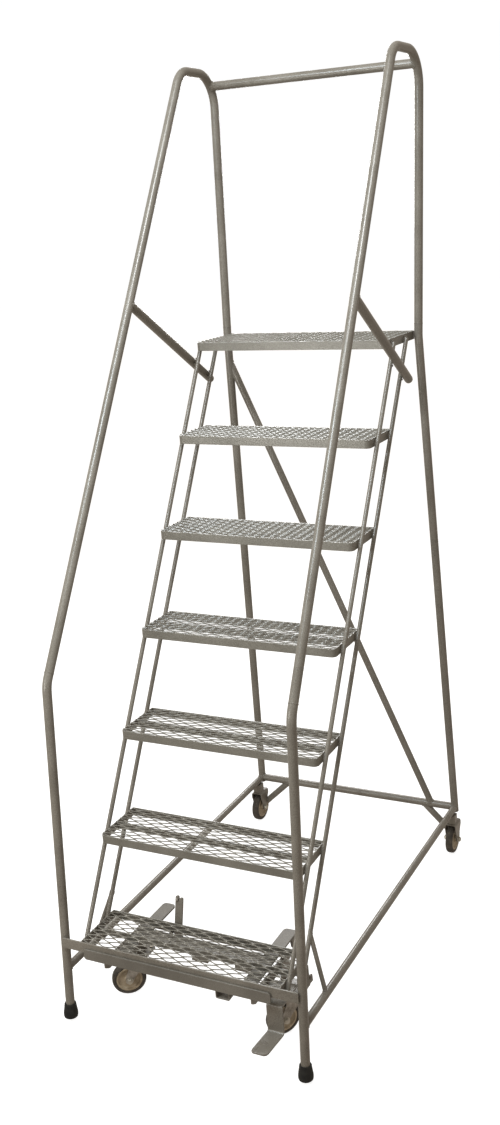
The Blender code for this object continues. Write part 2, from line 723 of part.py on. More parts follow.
def build_rocker_arm(word, side, rocker):
    """A flat bar on edge, from the front bar back past the pivot rod."""
    y, z = ROCKER_PIVOT.y, ROCKER_PIVOT.z
    outline = [(-0.0014, 0.2330), (-0.0014, 0.2020), (0.0150, 0.1920), (0.2200, 0.1920)]
    outline += arc((0.2250, 0.2070), 0.0150, 270, 450, 8)
    outline += [(0.0400, 0.2270), (0.0150, 0.2330)]
    x_inner, x_outer = side * ARM_INNER_X, side * (ARM_INNER_X + ARM_THICKNESS)
    joins = []
    if side < 0:
        tail_end = ARM_INNER_X - GAP
        start = (x_inner - 0.0040, TAIL_ROD.y, TAIL_ROD.z)
        joins.append(bar(start, (tail_end, TAIL_ROD.y, TAIL_ROD.z), 0.0060, 12))
    shape = plate_yz(outline, x_inner, x_outer)
    arm = rocker_object(f"rocker_arm_{word}", shape, joins, "powder_coat", rocker)
    cut_from(arm, [bar((side * 0.21, y, z), (side * 0.24, y, z), PIVOT_ROD_RADIUS + GAP, 16)], ROCKER_PIVOT)


def rocker_object(name, base, joins, finish, rocker):
    """One object on the rocker's empty, with further shapes joined to it."""
    made = make_object(name, base, finish, rocker, ROCKER_PIVOT)
    made.location = (0.0, 0.0, 0.0)
    for number, shape in enumerate(joins):
        helper = make_helper(f"{name}_join_{number}", shape, rocker, ROCKER_PIVOT)
        helper.location = (0.0, 0.0, 0.0)
        modifier = made.modifiers.new(f"join_{number}", "BOOLEAN")
        modifier.operation = "UNION"
        modifier.solver = "EXACT"
        modifier.object = helper
    return made


FRONT_BAR_Y = (-0.0068, -0.0018)
FRONT_BAR_Z = (0.2200, 0.2525)


def build_front_bar(rocker):
    """The foot bar in front of the crossbar, with a small channel welded below it."""
    radii = (0.008, 0.008, 0.010, 0.008)
    outline = rounded_rectangle((-0.2900, FRONT_BAR_Z[0]), (0.2850, FRONT_BAR_Z[1]), radii)
    base = plate_xz(outline, *FRONT_BAR_Y)
    channel = [
        box((0.1200, -0.0040, 0.1960), (0.1235, 0.0260, 0.2290)),
        box((0.1585, -0.0040, 0.1960), (0.1620, 0.0260, 0.2290)),
        box((0.1205, -0.0038, 0.1962), (0.1615, 0.0258, 0.1995)),
    ]
    rocker_object("rocker_front_bar", base, channel, "powder_coat", rocker)


PEDAL_X = (0.2620, 0.3090)


def build_pedal(rocker):
    """A bent strap: back to the right arm, down in front, and forward to a foot plate."""
    t = 0.0050
    outline = [(0.1100, 0.2080), (0.1100, 0.2030), (0.0165, 0.2030), (0.0140, 0.2005), (0.0140, 0.1240)]
    outline += [(0.0115, 0.1205), (-0.0950, 0.1310), (-0.0965, 0.1360), (0.0070, 0.1258), (0.0090, 0.1280)]
    outline += [(0.0090, 0.2035), (0.0135, 0.2080)]
    strap = plate_yz(outline, *PEDAL_X)
    tab_start = ARM_INNER_X + ARM_THICKNESS + GAP
    tab = box((tab_start, 0.0600, 0.2031), (PEDAL_X[0] + 0.010, 0.1090, 0.2030 + t - 0.0001))
    rocker_object("lock_pedal", strap, [tab], "powder_coat", rocker)


def build_caster_bracket(word, side, rocker):
    """A web on the arm's outer face and the plate that the caster hangs from."""
    place = mirrored(SWIVEL, side)
    web_inner = ARM_INNER_X + ARM_THICKNESS + GAP
    flange = side_box(side, 0.2050, 0.2920, (0.1450, 0.2250), (0.1296, 0.1346))
    web = side_box(side, web_inner, web_inner + 0.0050, (0.1640, 0.2160), (0.1340, 0.2180))
    cup = bar((place.x, place.y, 0.1210), (place.x, place.y, 0.1300), 0.0270, 20)
    bracket = rocker_object(f"caster_bracket_{word}", flange, [web, cup], "powder_coat", rocker)
    bore = bar((place.x, place.y, 0.1000), (place.x, place.y, 0.1348), 0.0060, 12)
    recess = side_box(side, 0.2365, 0.2595, (0.1735, 0.1965), (0.1346, 0.1500))
    cut_from(bracket, [bore, recess], ROCKER_PIVOT)


def build_trip_lever(root):
    """The upright release lever: leaning back, hooked below its pivot and notched at the top."""
    lean = Matrix.Translation(TRIP_PIVOT) @ Matrix.Rotation(-math.radians(TRIP_LEAN_DEG), 4, "X")
    blade = box((-0.0118, -0.0030, -0.0250), (0.0118, 0.0030, 0.1040))
    notch = box((-0.0025, -0.0060, 0.0960), (0.0035, 0.0060, 0.1100))
    bolt = bar((-0.0030, -0.0080, 0.0880), (-0.0030, 0.0080, 0.0880), 0.0042, 8)
    nose_outline = [(0.0020, -0.0100), (-0.0020, -0.0340), (0.0200, -0.0300), (0.0200, -0.0240)]
    nose = plate_yz(nose_outline, -0.0117, 0.0117)
    hole = bar((-0.02, 0.0, 0.0), (0.02, 0.0, 0.0), 0.0043, 12)
    boss = bar((-0.0117, 0.0, 0.0), (0.0117, 0.0, 0.0), 0.0080, 16)
    pivot = make_empty("trip_axis", TRIP_PIVOT, root)
    lever = make_object("trip_lever", moved(blade, lean), "powder_coat", pivot, TRIP_PIVOT)
    lever.location = (0.0, 0.0, 0.0)
    steps = (("UNION", boss), ("UNION", nose), ("UNION", bolt), ("DIFFERENCE", notch), ("DIFFERENCE", hole))
    for number, (operation, shape) in enumerate(steps):
        helper = make_helper(f"trip_lever_step_{number}", moved(shape, lean), pivot, TRIP_PIVOT)
        helper.location = (0.0, 0.0, 0.0)
        modifier = lever.modifiers.new(f"step_{number}", "BOOLEAN")
        modifier.operation = operation
        modifier.solver = "EXACT"
        modifier.object = helper


# ---- Assembly ----
clear_scene()
MATERIALS = {name: make_material(name) for name in FINISHES}
ladder = make_empty("ladder", LADDER_ORIGIN)
rocker_axis = make_empty("rocker_axis", ROCKER_PIVOT, ladder)

for side_word, side_sign in SIDES:
    build_side_frame(side_word, side_sign, ladder)
    build_base_tube(side_word, side_sign, ladder)
    build_caster_brace(side_word, side_sign, ladder)
    build_stringers(side_word, side_sign, ladder)
    build_handrail_brace(side_word, side_sign, ladder)
    build_strut(side_word, side_sign, ladder)
    build_foot(side_word, side_sign, ladder)
    build_rear_caster(side_word, side_sign, ladder)
    build_support_bar(side_word, side_sign, ladder)
    build_rocker_arm(side_word, side_sign, rocker_axis)
    build_caster_bracket(side_word, side_sign, rocker_axis)
build_handrail_crossbar(ladder)
build_rear_crossbar(ladder)
build_rear_diagonal(ladder)
build_front_crossbar(ladder)
for step_number in range(1, STEP_COUNT + 1):
    build_step(step_number, ladder)
build_front_bar(rocker_axis)
build_pivot_rod(ladder)
build_pedal(rocker_axis)
build_trip_lever(ladder)
build_front_caster("left", -1, LEFT_HEADING_DEG, ladder)
build_front_caster("right", 1, RIGHT_HEADING_DEG, ladder)
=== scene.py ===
import json
import math
import random

import bmesh
import bpy
from mathutils import Matrix, Vector

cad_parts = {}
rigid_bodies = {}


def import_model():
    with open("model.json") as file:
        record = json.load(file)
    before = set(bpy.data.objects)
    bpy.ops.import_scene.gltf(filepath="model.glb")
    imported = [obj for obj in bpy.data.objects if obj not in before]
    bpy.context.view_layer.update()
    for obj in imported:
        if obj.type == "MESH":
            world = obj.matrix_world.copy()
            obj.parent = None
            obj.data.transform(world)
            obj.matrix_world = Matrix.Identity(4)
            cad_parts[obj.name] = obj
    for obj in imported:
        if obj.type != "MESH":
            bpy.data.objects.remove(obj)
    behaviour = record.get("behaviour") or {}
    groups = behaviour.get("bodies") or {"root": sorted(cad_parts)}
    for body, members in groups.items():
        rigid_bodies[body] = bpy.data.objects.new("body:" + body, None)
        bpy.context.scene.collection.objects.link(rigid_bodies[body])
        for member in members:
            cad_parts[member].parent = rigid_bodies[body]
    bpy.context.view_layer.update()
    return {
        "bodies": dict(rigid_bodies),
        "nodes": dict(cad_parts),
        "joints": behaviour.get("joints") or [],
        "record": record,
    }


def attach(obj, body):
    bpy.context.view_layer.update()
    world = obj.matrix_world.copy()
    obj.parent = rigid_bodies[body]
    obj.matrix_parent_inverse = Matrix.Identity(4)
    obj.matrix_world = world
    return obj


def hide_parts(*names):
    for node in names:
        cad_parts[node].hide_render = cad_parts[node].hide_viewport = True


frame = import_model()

SHIFT = Vector((0.0, -0.60275, 0.0))
random.seed(7)

# ---- The CAD's dimensions, in ladder coordinates (SHIFT moves them to the shared frame) ----
TUBE = 0.0127  # radius of the main tubes
BRACE = 0.0111  # radius of the base, diagonal and caster braces
ROD = 0.00635  # radius of the stringers and their struts
SHAFT = 0.0060  # radius of the pivot rod, the catch rod and the axles
WALL = 0.00165
TUBE_SIDES, ROD_SIDES = 28, 20
FOOT = Vector((0.3685, 0.0, 0.0))
CLEARANCE = 0.0070  # floor to rubber feet
KNEE = Vector((0.3576, 0.0724, 1.0023))
SPLICE = 1.0300  # height of the joint of front leg and handrail
RAIL_FRONT = Vector((0.3266, 1.0079, 2.5540))
RAIL_REAR = Vector((0.3293, 1.2157, 2.5540))
KINK = Vector((0.3215, 1.1717, 1.7747))  # the bend of the rear leg
REAR_SPLICE = KINK.z + 0.0350
CORNER = Vector((0.3718, 1.2830, 0.1557))  # a rear corner of the base
LEG_BOTTOM = 0.1410
KNEE_BEND, KINK_BEND = 0.09, 0.15
RAIL_BENDS = [0.075, 0.090]
BAR_HEIGHT = 2.5210
BASE_FRONT = 0.1628  # height of the base tubes' front ends
STEP_COUNT = 7
RISE, RUN = 0.2540, 0.1554
TOP_1, FRONT_1 = 0.2666, 0.0020  # the first step's top, and where the line of front edges starts
HALF_STEP = 0.3072
STEP_DEPTH, TOP_STEP_DEPTH = 0.1760, 0.2440
STRINGER_X = 0.3137
SETBACK = {"front": 0.0541, "rear": 0.1605}  # from the line of front edges to each stringer
STAY_TOP, STAY_BOTTOM = 1.9330, 1.6590
STAY_OVERHANG = {"left": 0.0480, "right": 0.0350}
CELL_LONG, CELL_SHORT = 0.0508, 0.0234  # one diamond of the expanded metal
STRAND_WIDE, STRAND_THICK, BOND_LENGTH = 0.0033, 0.0026, 0.0060
BOND_TILT, STRAND_TILT = 62.0, 28.0
SUPPORT_INNER = {"left": 0.1700, "right": 0.1828}
SUPPORT_Z = (0.2310, 0.2368)
PIVOT = Vector((0.0, 0.1520, 0.2070))
ARM_X = (0.2235, 0.2295)
WEB_X = (0.2299, 0.2349)
HANGER_Z = (0.1296, 0.1346)
TAIL = Vector((0.0, 0.2250, 0.2030))  # the catch rod
TRIP = Vector((-0.1050, 0.1970, 0.2250))
TRIP_LEAN = 14.0
EAR_OFFSET = 0.0165  # from the trip lever's middle to each ear that holds its pin
WHEEL_R, WHEEL_HALF = 0.0500, 0.0120
SWIVEL = Vector((0.2480, 0.1850, 0.0))
TRAIL = 0.0300
HEADING = {"left": 37.0, "right": 53.0}
REAR_WHEEL = Vector((0.3720, 1.2520, WHEEL_R))
CROWN, FORK_HALF = 0.1115, 0.0183  # a fork's height and the half distance between its legs
FORK_FACE = REAR_WHEEL.x - 0.0200  # the rear stays stop here
SIDES = (("left", -1), ("right", 1))


# ---- Materials ----
def material(name):
    made = bpy.data.materials.new(name)
    made.use_nodes = True
    return made, made.node_tree.nodes, made.node_tree.links, made.node_tree.nodes["Principled BSDF"]


def texture(nodes, links, kind, scale, detail=3.0, rough=0.55):
    if "place" not in nodes:
        nodes.new("ShaderNodeTexCoord").name = "place"
    tex = nodes.new(kind)
    tex.inputs["Scale"].default_value = scale
    if "Detail" in tex.inputs:
        tex.inputs["Detail"].default_value = detail
        tex.inputs["Roughness"].default_value = rough
    links.new(nodes["place"].outputs["Object"], tex.inputs["Vector"])
    return tex


def ramp(nodes, links, source, stops):
    made = nodes.new("ShaderNodeValToRGB")
    while len(made.color_ramp.elements) < len(stops):
        made.color_ramp.elements.new(0.5)
    for element, (where, colour) in zip(made.color_ramp.elements, stops):
        element.position = where
        element.color = (*colour, 1.0) if len(colour) == 3 else colour
    links.new(source, made.inputs["Fac"])
    return made


def mix(nodes, links, factor, first, second, how="MIX"):
    """A colour mix whose inputs are sockets, colours or a number."""
    made = nodes.new("ShaderNodeMix")
    made.data_type = "RGBA"
    made.blend_type = how
    for socket, value in ((made.inputs[0], factor), (made.inputs[6], first), (made.inputs[7], second)):
        if isinstance(value, bpy.types.NodeSocket):
            links.new(value, socket)
        elif isinstance(value, tuple):
            socket.default_value = (*value, 1.0)
        else:
            socket.default_value = value
    return made.outputs[2]


def bump(nodes, links, height, strength, distance, under=None):
    made = nodes.new("ShaderNodeBump")
    made.inputs["Strength"].default_value = strength
    made.inputs["Distance"].default_value = distance
    links.new(height, made.inputs["Height"])
    if under:
        links.new(under, made.inputs["Normal"])
    return made.outputs["Normal"]


def value_range(nodes, links, source, low, high):
    made = nodes.new("ShaderNodeMapRange")
    made.inputs["To Min"].default_value = low
    made.inputs["To Max"].default_value = high
    links.new(source, made.inputs["Value"])
    return made.outputs["Result"]


def painted(name, dark, base, light, roughness):
    """Satin powder coat: cloudy tone, fine speckle, orange peel, and a few rubbed and dusty places."""
    made, nodes, links, shader = material(name)
    cloud = texture(nodes, links, "ShaderNodeTexNoise", 9.0, 4.0)
    tone = ramp(nodes, links, cloud.outputs["Fac"], ((0.30, dark), (0.50, base), (0.72, light)))
    speckle = texture(nodes, links, "ShaderNodeTexNoise", 420.0, 2.0, 0.7)
    flecks = ((0.36, (0.74, 0.73, 0.71)), (0.62, (1.22, 1.22, 1.21)))
    grain = ramp(nodes, links, speckle.outputs["Fac"], flecks)
    colour = mix(nodes, links, 0.85, tone.outputs["Color"], grain.outputs["Color"], "MULTIPLY")
    scuff = texture(nodes, links, "ShaderNodeTexNoise", 34.0, 6.0, 0.72)
    worn = ramp(nodes, links, scuff.outputs["Fac"], ((0.66, (0, 0, 0)), (0.74, (0.35, 0.35, 0.35))))
    colour = mix(nodes, links, worn.outputs["Color"], colour, tuple(1.25 * c for c in light))
    links.new(colour, shader.inputs["Base Color"])
    sheen = value_range(nodes, links, cloud.outputs["Fac"], roughness - 0.07, roughness + 0.07)
    links.new(sheen, shader.inputs["Roughness"])
    peel = texture(nodes, links, "ShaderNodeTexNoise", 650.0, 2.0, 0.5)
    first = bump(nodes, links, peel.outputs["Fac"], 0.22, 0.0006)
    links.new(bump(nodes, links, speckle.outputs["Fac"], 0.10, 0.0010, first), shader.inputs["Normal"])
    shader.inputs["Specular IOR Level"].default_value = 0.45
    return made


def zinc_plate():
    """Bright plating: a spangle of two greys with brown stains."""
    made, nodes, links, shader = material("zinc_plate")
    spangle = texture(nodes, links, "ShaderNodeTexVoronoi", 260.0)
    tones = ((0.0, (0.62, 0.60, 0.55)), (0.7, (0.44, 0.42, 0.37)))
    tone = ramp(nodes, links, spangle.outputs["Distance"], tones)
    stain = texture(nodes, links, "ShaderNodeTexNoise", 60.0, 5.0, 0.65)
    dirt = ramp(nodes, links, stain.outputs["Fac"], ((0.45, (0, 0, 0)), (0.68, (0.6, 0.6, 0.6))))
    colour = mix(nodes, links, dirt.outputs["Color"], tone.outputs["Color"], (0.22, 0.19, 0.14))
    links.new(colour, shader.inputs["Base Color"])
    links.new(value_range(nodes, links, stain.outputs["Fac"], 0.26, 0.52), shader.inputs["Roughness"])
    shader.inputs["Metallic"].default_value = 0.85
    links.new(bump(nodes, links, stain.outputs["Fac"], 0.15, 0.0008), shader.inputs["Normal"])
    return made


def mottled(name, cloud, tones, roughness, grain):
    """A surface of one stuff: cloudy tones, roughness that follows them, and a fine grain."""
    made, nodes, links, shader = material(name)
    stain = texture(nodes, links, "ShaderNodeTexNoise", *cloud)
    links.new(ramp(nodes, links, stain.outputs["Fac"], tones).outputs["Color"], shader.inputs["Base Color"])
    links.new(value_range(nodes, links, stain.outputs["Fac"], *roughness), shader.inputs["Roughness"])
    scale, detail, strength, distance = grain
    fine = texture(nodes, links, "ShaderNodeTexNoise", scale, detail)
    links.new(bump(nodes, links, fine.outputs["Fac"], strength, distance), shader.inputs["Normal"])
    return made, shader


def fork_metal():
    tones = ((0.32, (0.150, 0.135, 0.117)), (0.55, (0.290, 0.270, 0.243)), (0.75, (0.43, 0.41, 0.38)))
    made, shader = mottled("fork_metal", (45.0, 5.0, 0.65), tones, (0.34, 0.58), (700.0, 2.0, 0.12, 0.0005))
    shader.inputs["Metallic"].default_value = 0.55
    return made


def tyre_rubber():
    tones = ((0.35, (0.034, 0.031, 0.028)), (0.60, (0.066, 0.058, 0.048)), (0.78, (0.135, 0.116, 0.088)))
    made, shader = mottled("tyre_rubber", (55.0, 6.0, 0.7), tones, (0.62, 0.86), (900.0, 2.0, 0.25, 0.0006))
    shader.inputs["Specular IOR Level"].default_value = 0.35
    return made


def hub_plastic():
    tones = ((0.30, (0.200, 0.160, 0.108)), (0.52, (0.315, 0.262, 0.185)), (0.75, (0.420, 0.360, 0.270)))
    return mottled("hub_tan", (40.0, 5.0, 0.6), tones, (0.38, 0.60), (500.0, 3.0, 0.15, 0.0006))[0]


def foot_rubber():
    tones = ((0.38, (0.005, 0.0055, 0.0055)), (0.72, (0.018, 0.018, 0.016)))
    made, shader = mottled("foot_rubber", (70.0, 5.0, 0.65), tones, (0.48, 0.72), (800.0, 2.0, 0.2, 0.0006))
    shader.inputs["Specular IOR Level"].default_value = 0.25
    return made


def stage_finish(name, glow, tint):
    """Matte, pale and lit from within, so that the stage looks even."""
    made, nodes, links, shader = material(name)
    soft = texture(nodes, links, "ShaderNodeTexNoise", 0.6, 2.0)
    tone = ramp(nodes, links, soft.outputs["Fac"], ((0.3, [tint * 0.98] * 3), (0.7, [tint] * 3)))
    links.new(tone.outputs["Color"], shader.inputs["Base Color"])
    shader.inputs["Roughness"].default_value = 0.9
    shader.inputs["Specular IOR Level"].default_value = 0.1
    shader.inputs["Emission Color"].default_value = (1.0, 1.0, 1.0, 1.0)
    shader.inputs["Emission Strength"].default_value = glow
    return made


# Each painted surface: its name, its dark, middle and light tones, and its roughness.
PAINTS = {
    "powder_coat": [
        "satin_powder_coat", (0.116, 0.106, 0.090), (0.141, 0.130, 0.112), (0.168, 0.156, 0.136), 0.29
    ],
    "step_paint": [
        "step_powder_coat", (0.130, 0.122, 0.105), (0.158, 0.149, 0.130), (0.188, 0.179, 0.157), 0.28
    ],
    # The step rims: the step paint made darker, which paints shade on their front flanges.
    "step_edge": [
        "step_edge_coat", (0.112, 0.106, 0.091), (0.136, 0.129, 0.112), (0.162, 0.155, 0.136), 0.30
    ],
    # The bars low under the steps: the powder coat made darker, which paints shade, and rougher.
    "low_bar": [
        "low_bar_coat", (0.094, 0.087, 0.075), (0.116, 0.108, 0.094), (0.140, 0.131, 0.115), 0.46
    ],
}
LOOK = {key: painted(*paint) for key, paint in PAINTS.items()}
LOOK["zinc"] = zinc_plate()
LOOK["fork"] = fork_metal()
LOOK["tyre"] = tyre_rubber()
LOOK["hub_plastic"] = hub_plastic()
LOOK["black_rubber"] = foot_rubber()


# ---- Making pieces ----
def finish_piece(name, shape, body, look, replaced=(), bevel=0.0, smooth=40, turn=None):
    """A mesh drawn in ladder coordinates becomes a piece in the shared frame."""
    bmesh.ops.recalc_face_normals(shape, faces=shape.faces)
    mesh = bpy.data.meshes.new(name)
    if turn:
        bmesh.ops.transform(shape, matrix=turn, verts=shape.verts)
    bmesh.ops.translate(shape, verts=shape.verts, vec=SHIFT)
    shape.to_mesh(mesh)
    shape.free()
    mesh.materials.append(LOOK[look])
    mesh.shade_smooth()
    mesh.set_sharp_from_angle(angle=math.radians(smooth))
    made = bpy.data.objects.new(name, mesh)
    bpy.context.scene.collection.objects.link(made)
    if bevel:
        edge = made.modifiers.new("edge", "BEVEL")
        edge.width = bevel
        edge.segments = 2
        edge.limit_method = "ANGLE"
        edge.angle_limit = math.radians(35)
        edge.harden_normals = False
        weighted = made.modifiers.new("normals", "WEIGHTED_NORMAL")
        weighted.keep_sharp = False
    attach(made, body)
    if replaced:
        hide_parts(*replaced)


def frame_piece(name, shape, node, **finish):
    """A painted piece of the fixed frame that stands for one CAD node."""
    finish_piece(name, shape, "ladder_frame", "powder_coat", [node], **finish)


def mirrored(point, side):
    return Vector((point[0] * side, point[1], point[2]))


def rounded_path(corners, bends, steps=14):
    """The corner points' path, with each inner corner turned into a bend of its radius."""
    path = [Vector(corners[0])]
    for before, corner, after, radius in zip(corners, corners[1:], corners[2:], bends):
        back = (Vector(before) - Vector(corner)).normalized()
        ahead = (Vector(after) - Vector(corner)).normalized()
        turn = math.pi - back.angle(ahead)
        centre = Vector(corner) + (back + ahead).normalized() * (radius / math.cos(turn / 2))
        arm = Vector(corner) + back * radius * math.tan(turn / 2) - centre
        axis = back.cross(ahead).normalized()
        for step in range(steps + 1):
            path.append(centre + Matrix.Rotation(-turn * step / steps, 3, axis) @ arm)
    path.append(Vector(corners[-1]))
    return path


def frames_along(path, closed=False):
    """For each point of the path: the point, and two directions across the path that don't twist."""
    tangents = []
    last = len(path) - 1
    for index in range(len(path)):
        before = path[index - 1] if index or closed else path[0]
        after = path[(index + 1) % len(path)] if index < last or closed else path[last]
        tangents.append((after - before).normalized())
    seed = Vector((1.0, 0.0, 0.0))
    if abs(tangents[0].dot(seed)) > 0.8:
        seed = Vector((0.0, 0.0, 1.0))
    across = (seed - tangents[0] * seed.dot(tangents[0])).normalized()
    frames = []
    for point, tangent in zip(path, tangents):
        across = (across - tangent * across.dot(tangent)).normalized()
        frames.append((point, across, tangent.cross(across)))
    return frames


def ring(shape, frame, radius, sides):
    point, across, up = frame
    made = []
    for index in range(sides):
        angle = 2 * math.pi * index / sides
        made.append(shape.verts.new(point + radius * (across * math.cos(angle) + up * math.sin(angle))))
    return made


def bridge(shape, first, second):
    count = len(first)
    for index in range(count):
        following = (index + 1) % count
        shape.faces.new((first[index], first[following], second[following], second[index]))


def tube(shape, path, radius, sides=TUBE_SIDES, wall=0.0, scales=None):
    """A round tube along the path: open with a wall, or closed at both ends."""
    frames = frames_along([Vector(p) for p in path])
    scales = scales or [1.0] * len(frames)
    outer = [ring(shape, frame, radius * scale, sides) for frame, scale in zip(frames, scales)]
    for first, second in zip(outer, outer[1:]):
        bridge(shape, first, second)
    if wall:
        for end, step in ((0, 1), (-1, -1)):
            point, across, up = frames[end]
            deep = (frames[end + step][0] - point).normalized() * radius
            lip = ring(shape, (point, across, up), radius * scales[end] - wall, sides)
            throat = ring(shape, (point + deep, across, up), radius * scales[end] - wall, sides)
            bridge(shape, outer[end], lip)
            bridge(shape, lip, throat)
            shape.faces.new(throat)
    else:
        shape.faces.new(list(reversed(outer[0])))
        shape.faces.new(outer[-1])


def mitre(shape, along, limit, sides=TUBE_SIDES, throat=0.004):
    """Cut an open tube's last end by an upright plane: points past it slide back along the tube."""
    first_deep = len(shape.verts) - sides
    for index, vert in enumerate(shape.verts):
        past = abs(vert.co.x) - limit + (throat if index >= first_deep else 0.0)
        if past > 0:
            vert.co += along * past / abs(along.x)


def loop_tube(shape, path, radius, sides=8, wobble=0.18):
    """A closed bead along the path, with the ripples of a hand-laid weld."""
    frames = frames_along(path, closed=True)
    rings = []
    for index, frame in enumerate(frames):
        ripple = 1 + wobble * math.sin(index * 2.1) + wobble * 0.6 * random.uniform(-1, 1)
        rings.append(ring(shape, frame, radius * ripple, sides))
    for index in range(len(rings)):
        bridge(shape, rings[index], rings[(index + 1) % len(rings)])


def weld(shape, start, toward, radius, axis_point, axis, axis_radius, bead=0.0022, points=34):
    """A bead where a tube that runs from start to `toward` meets another tube, given by its axis."""
    along = (Vector(toward) - Vector(start)).normalized()
    axis = Vector(axis).normalized()
    side = along.orthogonal().normalized()
    other = along.cross(side)
    flat = along - axis * along.dot(axis)
    path = []
    for index in range(points):
        angle = 2 * math.pi * index / points
        base = Vector(start) + radius * (side * math.cos(angle) + other * math.sin(angle))
        offset = base - Vector(axis_point)
        offset -= axis * offset.dot(axis)
        a, b, c = flat.dot(flat), 2 * offset.dot(flat), offset.dot(offset) - axis_radius ** 2
        root = b * b - 4 * a * c
        reach = (-b - math.sqrt(root)) / (2 * a) if root > 0 else -b / (2 * a)
        path.append(base + along * reach)
    loop_tube(shape, path, bead)


def smear(shape, start, end, radius, sides=8, steps=9):
    """A short weld laid along a line, fat in the middle and thin at its ends."""
    start, end = Vector(start), Vector(end)
    path, scales = [], []
    for index in range(steps + 1):
        path.append(start.lerp(end, index / steps))
        ripple = 1 + 0.15 * math.sin(index * 2.4)
        scales.append(0.35 + 0.65 * math.sin(math.pi * index / steps) ** 0.5 * ripple)
    tube(shape, path, radius, sides, scales=scales)


def prism(shape, outline, axis, low, high):
    """A flat plate: an outline of two coordinates, thick along the axis."""
    def place(u, v, w):
        return {"x": (w, u, v), "y": (u, w, v), "z": (u, v, w)}[axis]
    near = [shape.verts.new(place(u, v, low)) for u, v in outline]
    far = [shape.verts.new(place(u, v, high)) for u, v in outline]
    shape.faces.new(near)
    shape.faces.new(list(reversed(far)))
    bridge(shape, far, near)


def arc(centre, radius, start, end, steps=8):
    turned = [math.radians(start + (end - start) * step / steps) for step in range(steps + 1)]
    return [(centre[0] + radius * math.cos(a), centre[1] + radius * math.sin(a)) for a in turned]


def soft_rectangle(low, high, radii, steps=6):
    """A rectangle's outline from its low corner round, each corner with its own radius."""
    (x0, y0), (x1, y1) = low, high
    corners = ((x0, y0, 1, 1), (x1, y0, -1, 1), (x1, y1, -1, -1), (x0, y1, 1, -1))
    points = []
    for quarter, ((x, y, into_x, into_y), radius) in enumerate(zip(corners, radii)):
        centre = (x + into_x * radius, y + into_y * radius)
        points += arc(centre, radius, 180 + 90 * quarter, 270 + 90 * quarter, steps)
    return points


def rectangle(u_range, v_range):
    (u0, u1), (v0, v1) = u_range, v_range
    return [(u0, v0), (u1, v0), (u1, v1), (u0, v1)]


def side_range(side, inner, outer):
    """The low and high x of something given by its distances from the middle plane."""
    return sorted((side * inner, side * outer))


def lathe(shape, profile, start, axis, sides=48):
    """A turned shape: a closed profile of (radius, distance along the axis)."""
    start, axis = Vector(start), Vector(axis).normalized()
    side = axis.orthogonal().normalized()
    other = axis.cross(side)
    rings = []
    for index in range(sides):
        angle = 2 * math.pi * index / sides
        out = side * math.cos(angle) + other * math.sin(angle)
        rings.append([shape.verts.new(start + axis * along + out * radius) for radius, along in profile])
    for index in range(sides):
        bridge(shape, rings[index], rings[(index + 1) % sides])


def lathe_solid(shape, profile, start, axis, sides=48):
    """A turned shape whose profile starts and ends on the axis."""
    lathe(shape, profile, start, axis, sides)
    bmesh.ops.remove_doubles(shape, verts=shape.verts, dist=1e-6)


def hexagon(shape, centre, axis, across, height, spin=0.0):
    """A chamfered nut or bolt head whose base is at the centre."""
    axis = Vector(axis).normalized()
    side = axis.orthogonal().normalized()
    other = axis.cross(side)
    levels = ((0.0, 0.94), (0.12, 1.0), (0.82, 1.0), (1.0, 0.86))
    rings = []
    for share, scale in levels:
        made = []
        for corner in range(6):
            angle = spin + math.pi * corner / 3
            out = side * math.cos(angle) + other * math.sin(angle)
            corner_out = out * across / math.sqrt(3) * scale
            made.append(shape.verts.new(Vector(centre) + axis * height * share + corner_out))
        rings.append(made)
    for first, second in zip(rings, rings[1:]):
        bridge(shape, first, second)
    shape.faces.new(list(reversed(rings[0])))
    shape.faces.new(rings[-1])


def between(low, high, height):
    return low.lerp(high, (height - low.z) / (high.z - low.z))


def stringer(where, height, side=1):
    """The stringer's centre at a height."""
    y = FRONT_1 + SETBACK[where] + (height - TOP_1) * RUN / RISE
    return Vector((side * STRINGER_X, y, height))


# ---- Frame tubes ----
def side_lines(side):
    """Corner points of the front leg, the handrail and the rear leg."""
    leg = [between(FOOT, KNEE, CLEARANCE + 0.0065), KNEE, between(KNEE, RAIL_FRONT, SPLICE)]
    rail = [between(KNEE, RAIL_FRONT, SPLICE), RAIL_FRONT, RAIL_REAR, between(KINK, RAIL_REAR, REAR_SPLICE)]
    rear = [between(KINK, RAIL_REAR, REAR_SPLICE), KINK, between(CORNER, KINK, LEG_BOTTOM)]
    return [[mirrored(p, side) for p in line] for line in (leg, rail, rear)]


def splice_ring(shape, point, along):
    """The bead laid round the swaged joint of two tubes."""
    across, up = frames_along([point - along * 0.001, point + along * 0.001])[0][1:]
    path = []
    for index in range(30):
        angle = 2 * math.pi * index / 30
        path.append(point + (TUBE + 0.0001) * (across * math.cos(angle) + up * math.sin(angle)))
    loop_tube(shape, path, 0.0011, 6, 0.12)


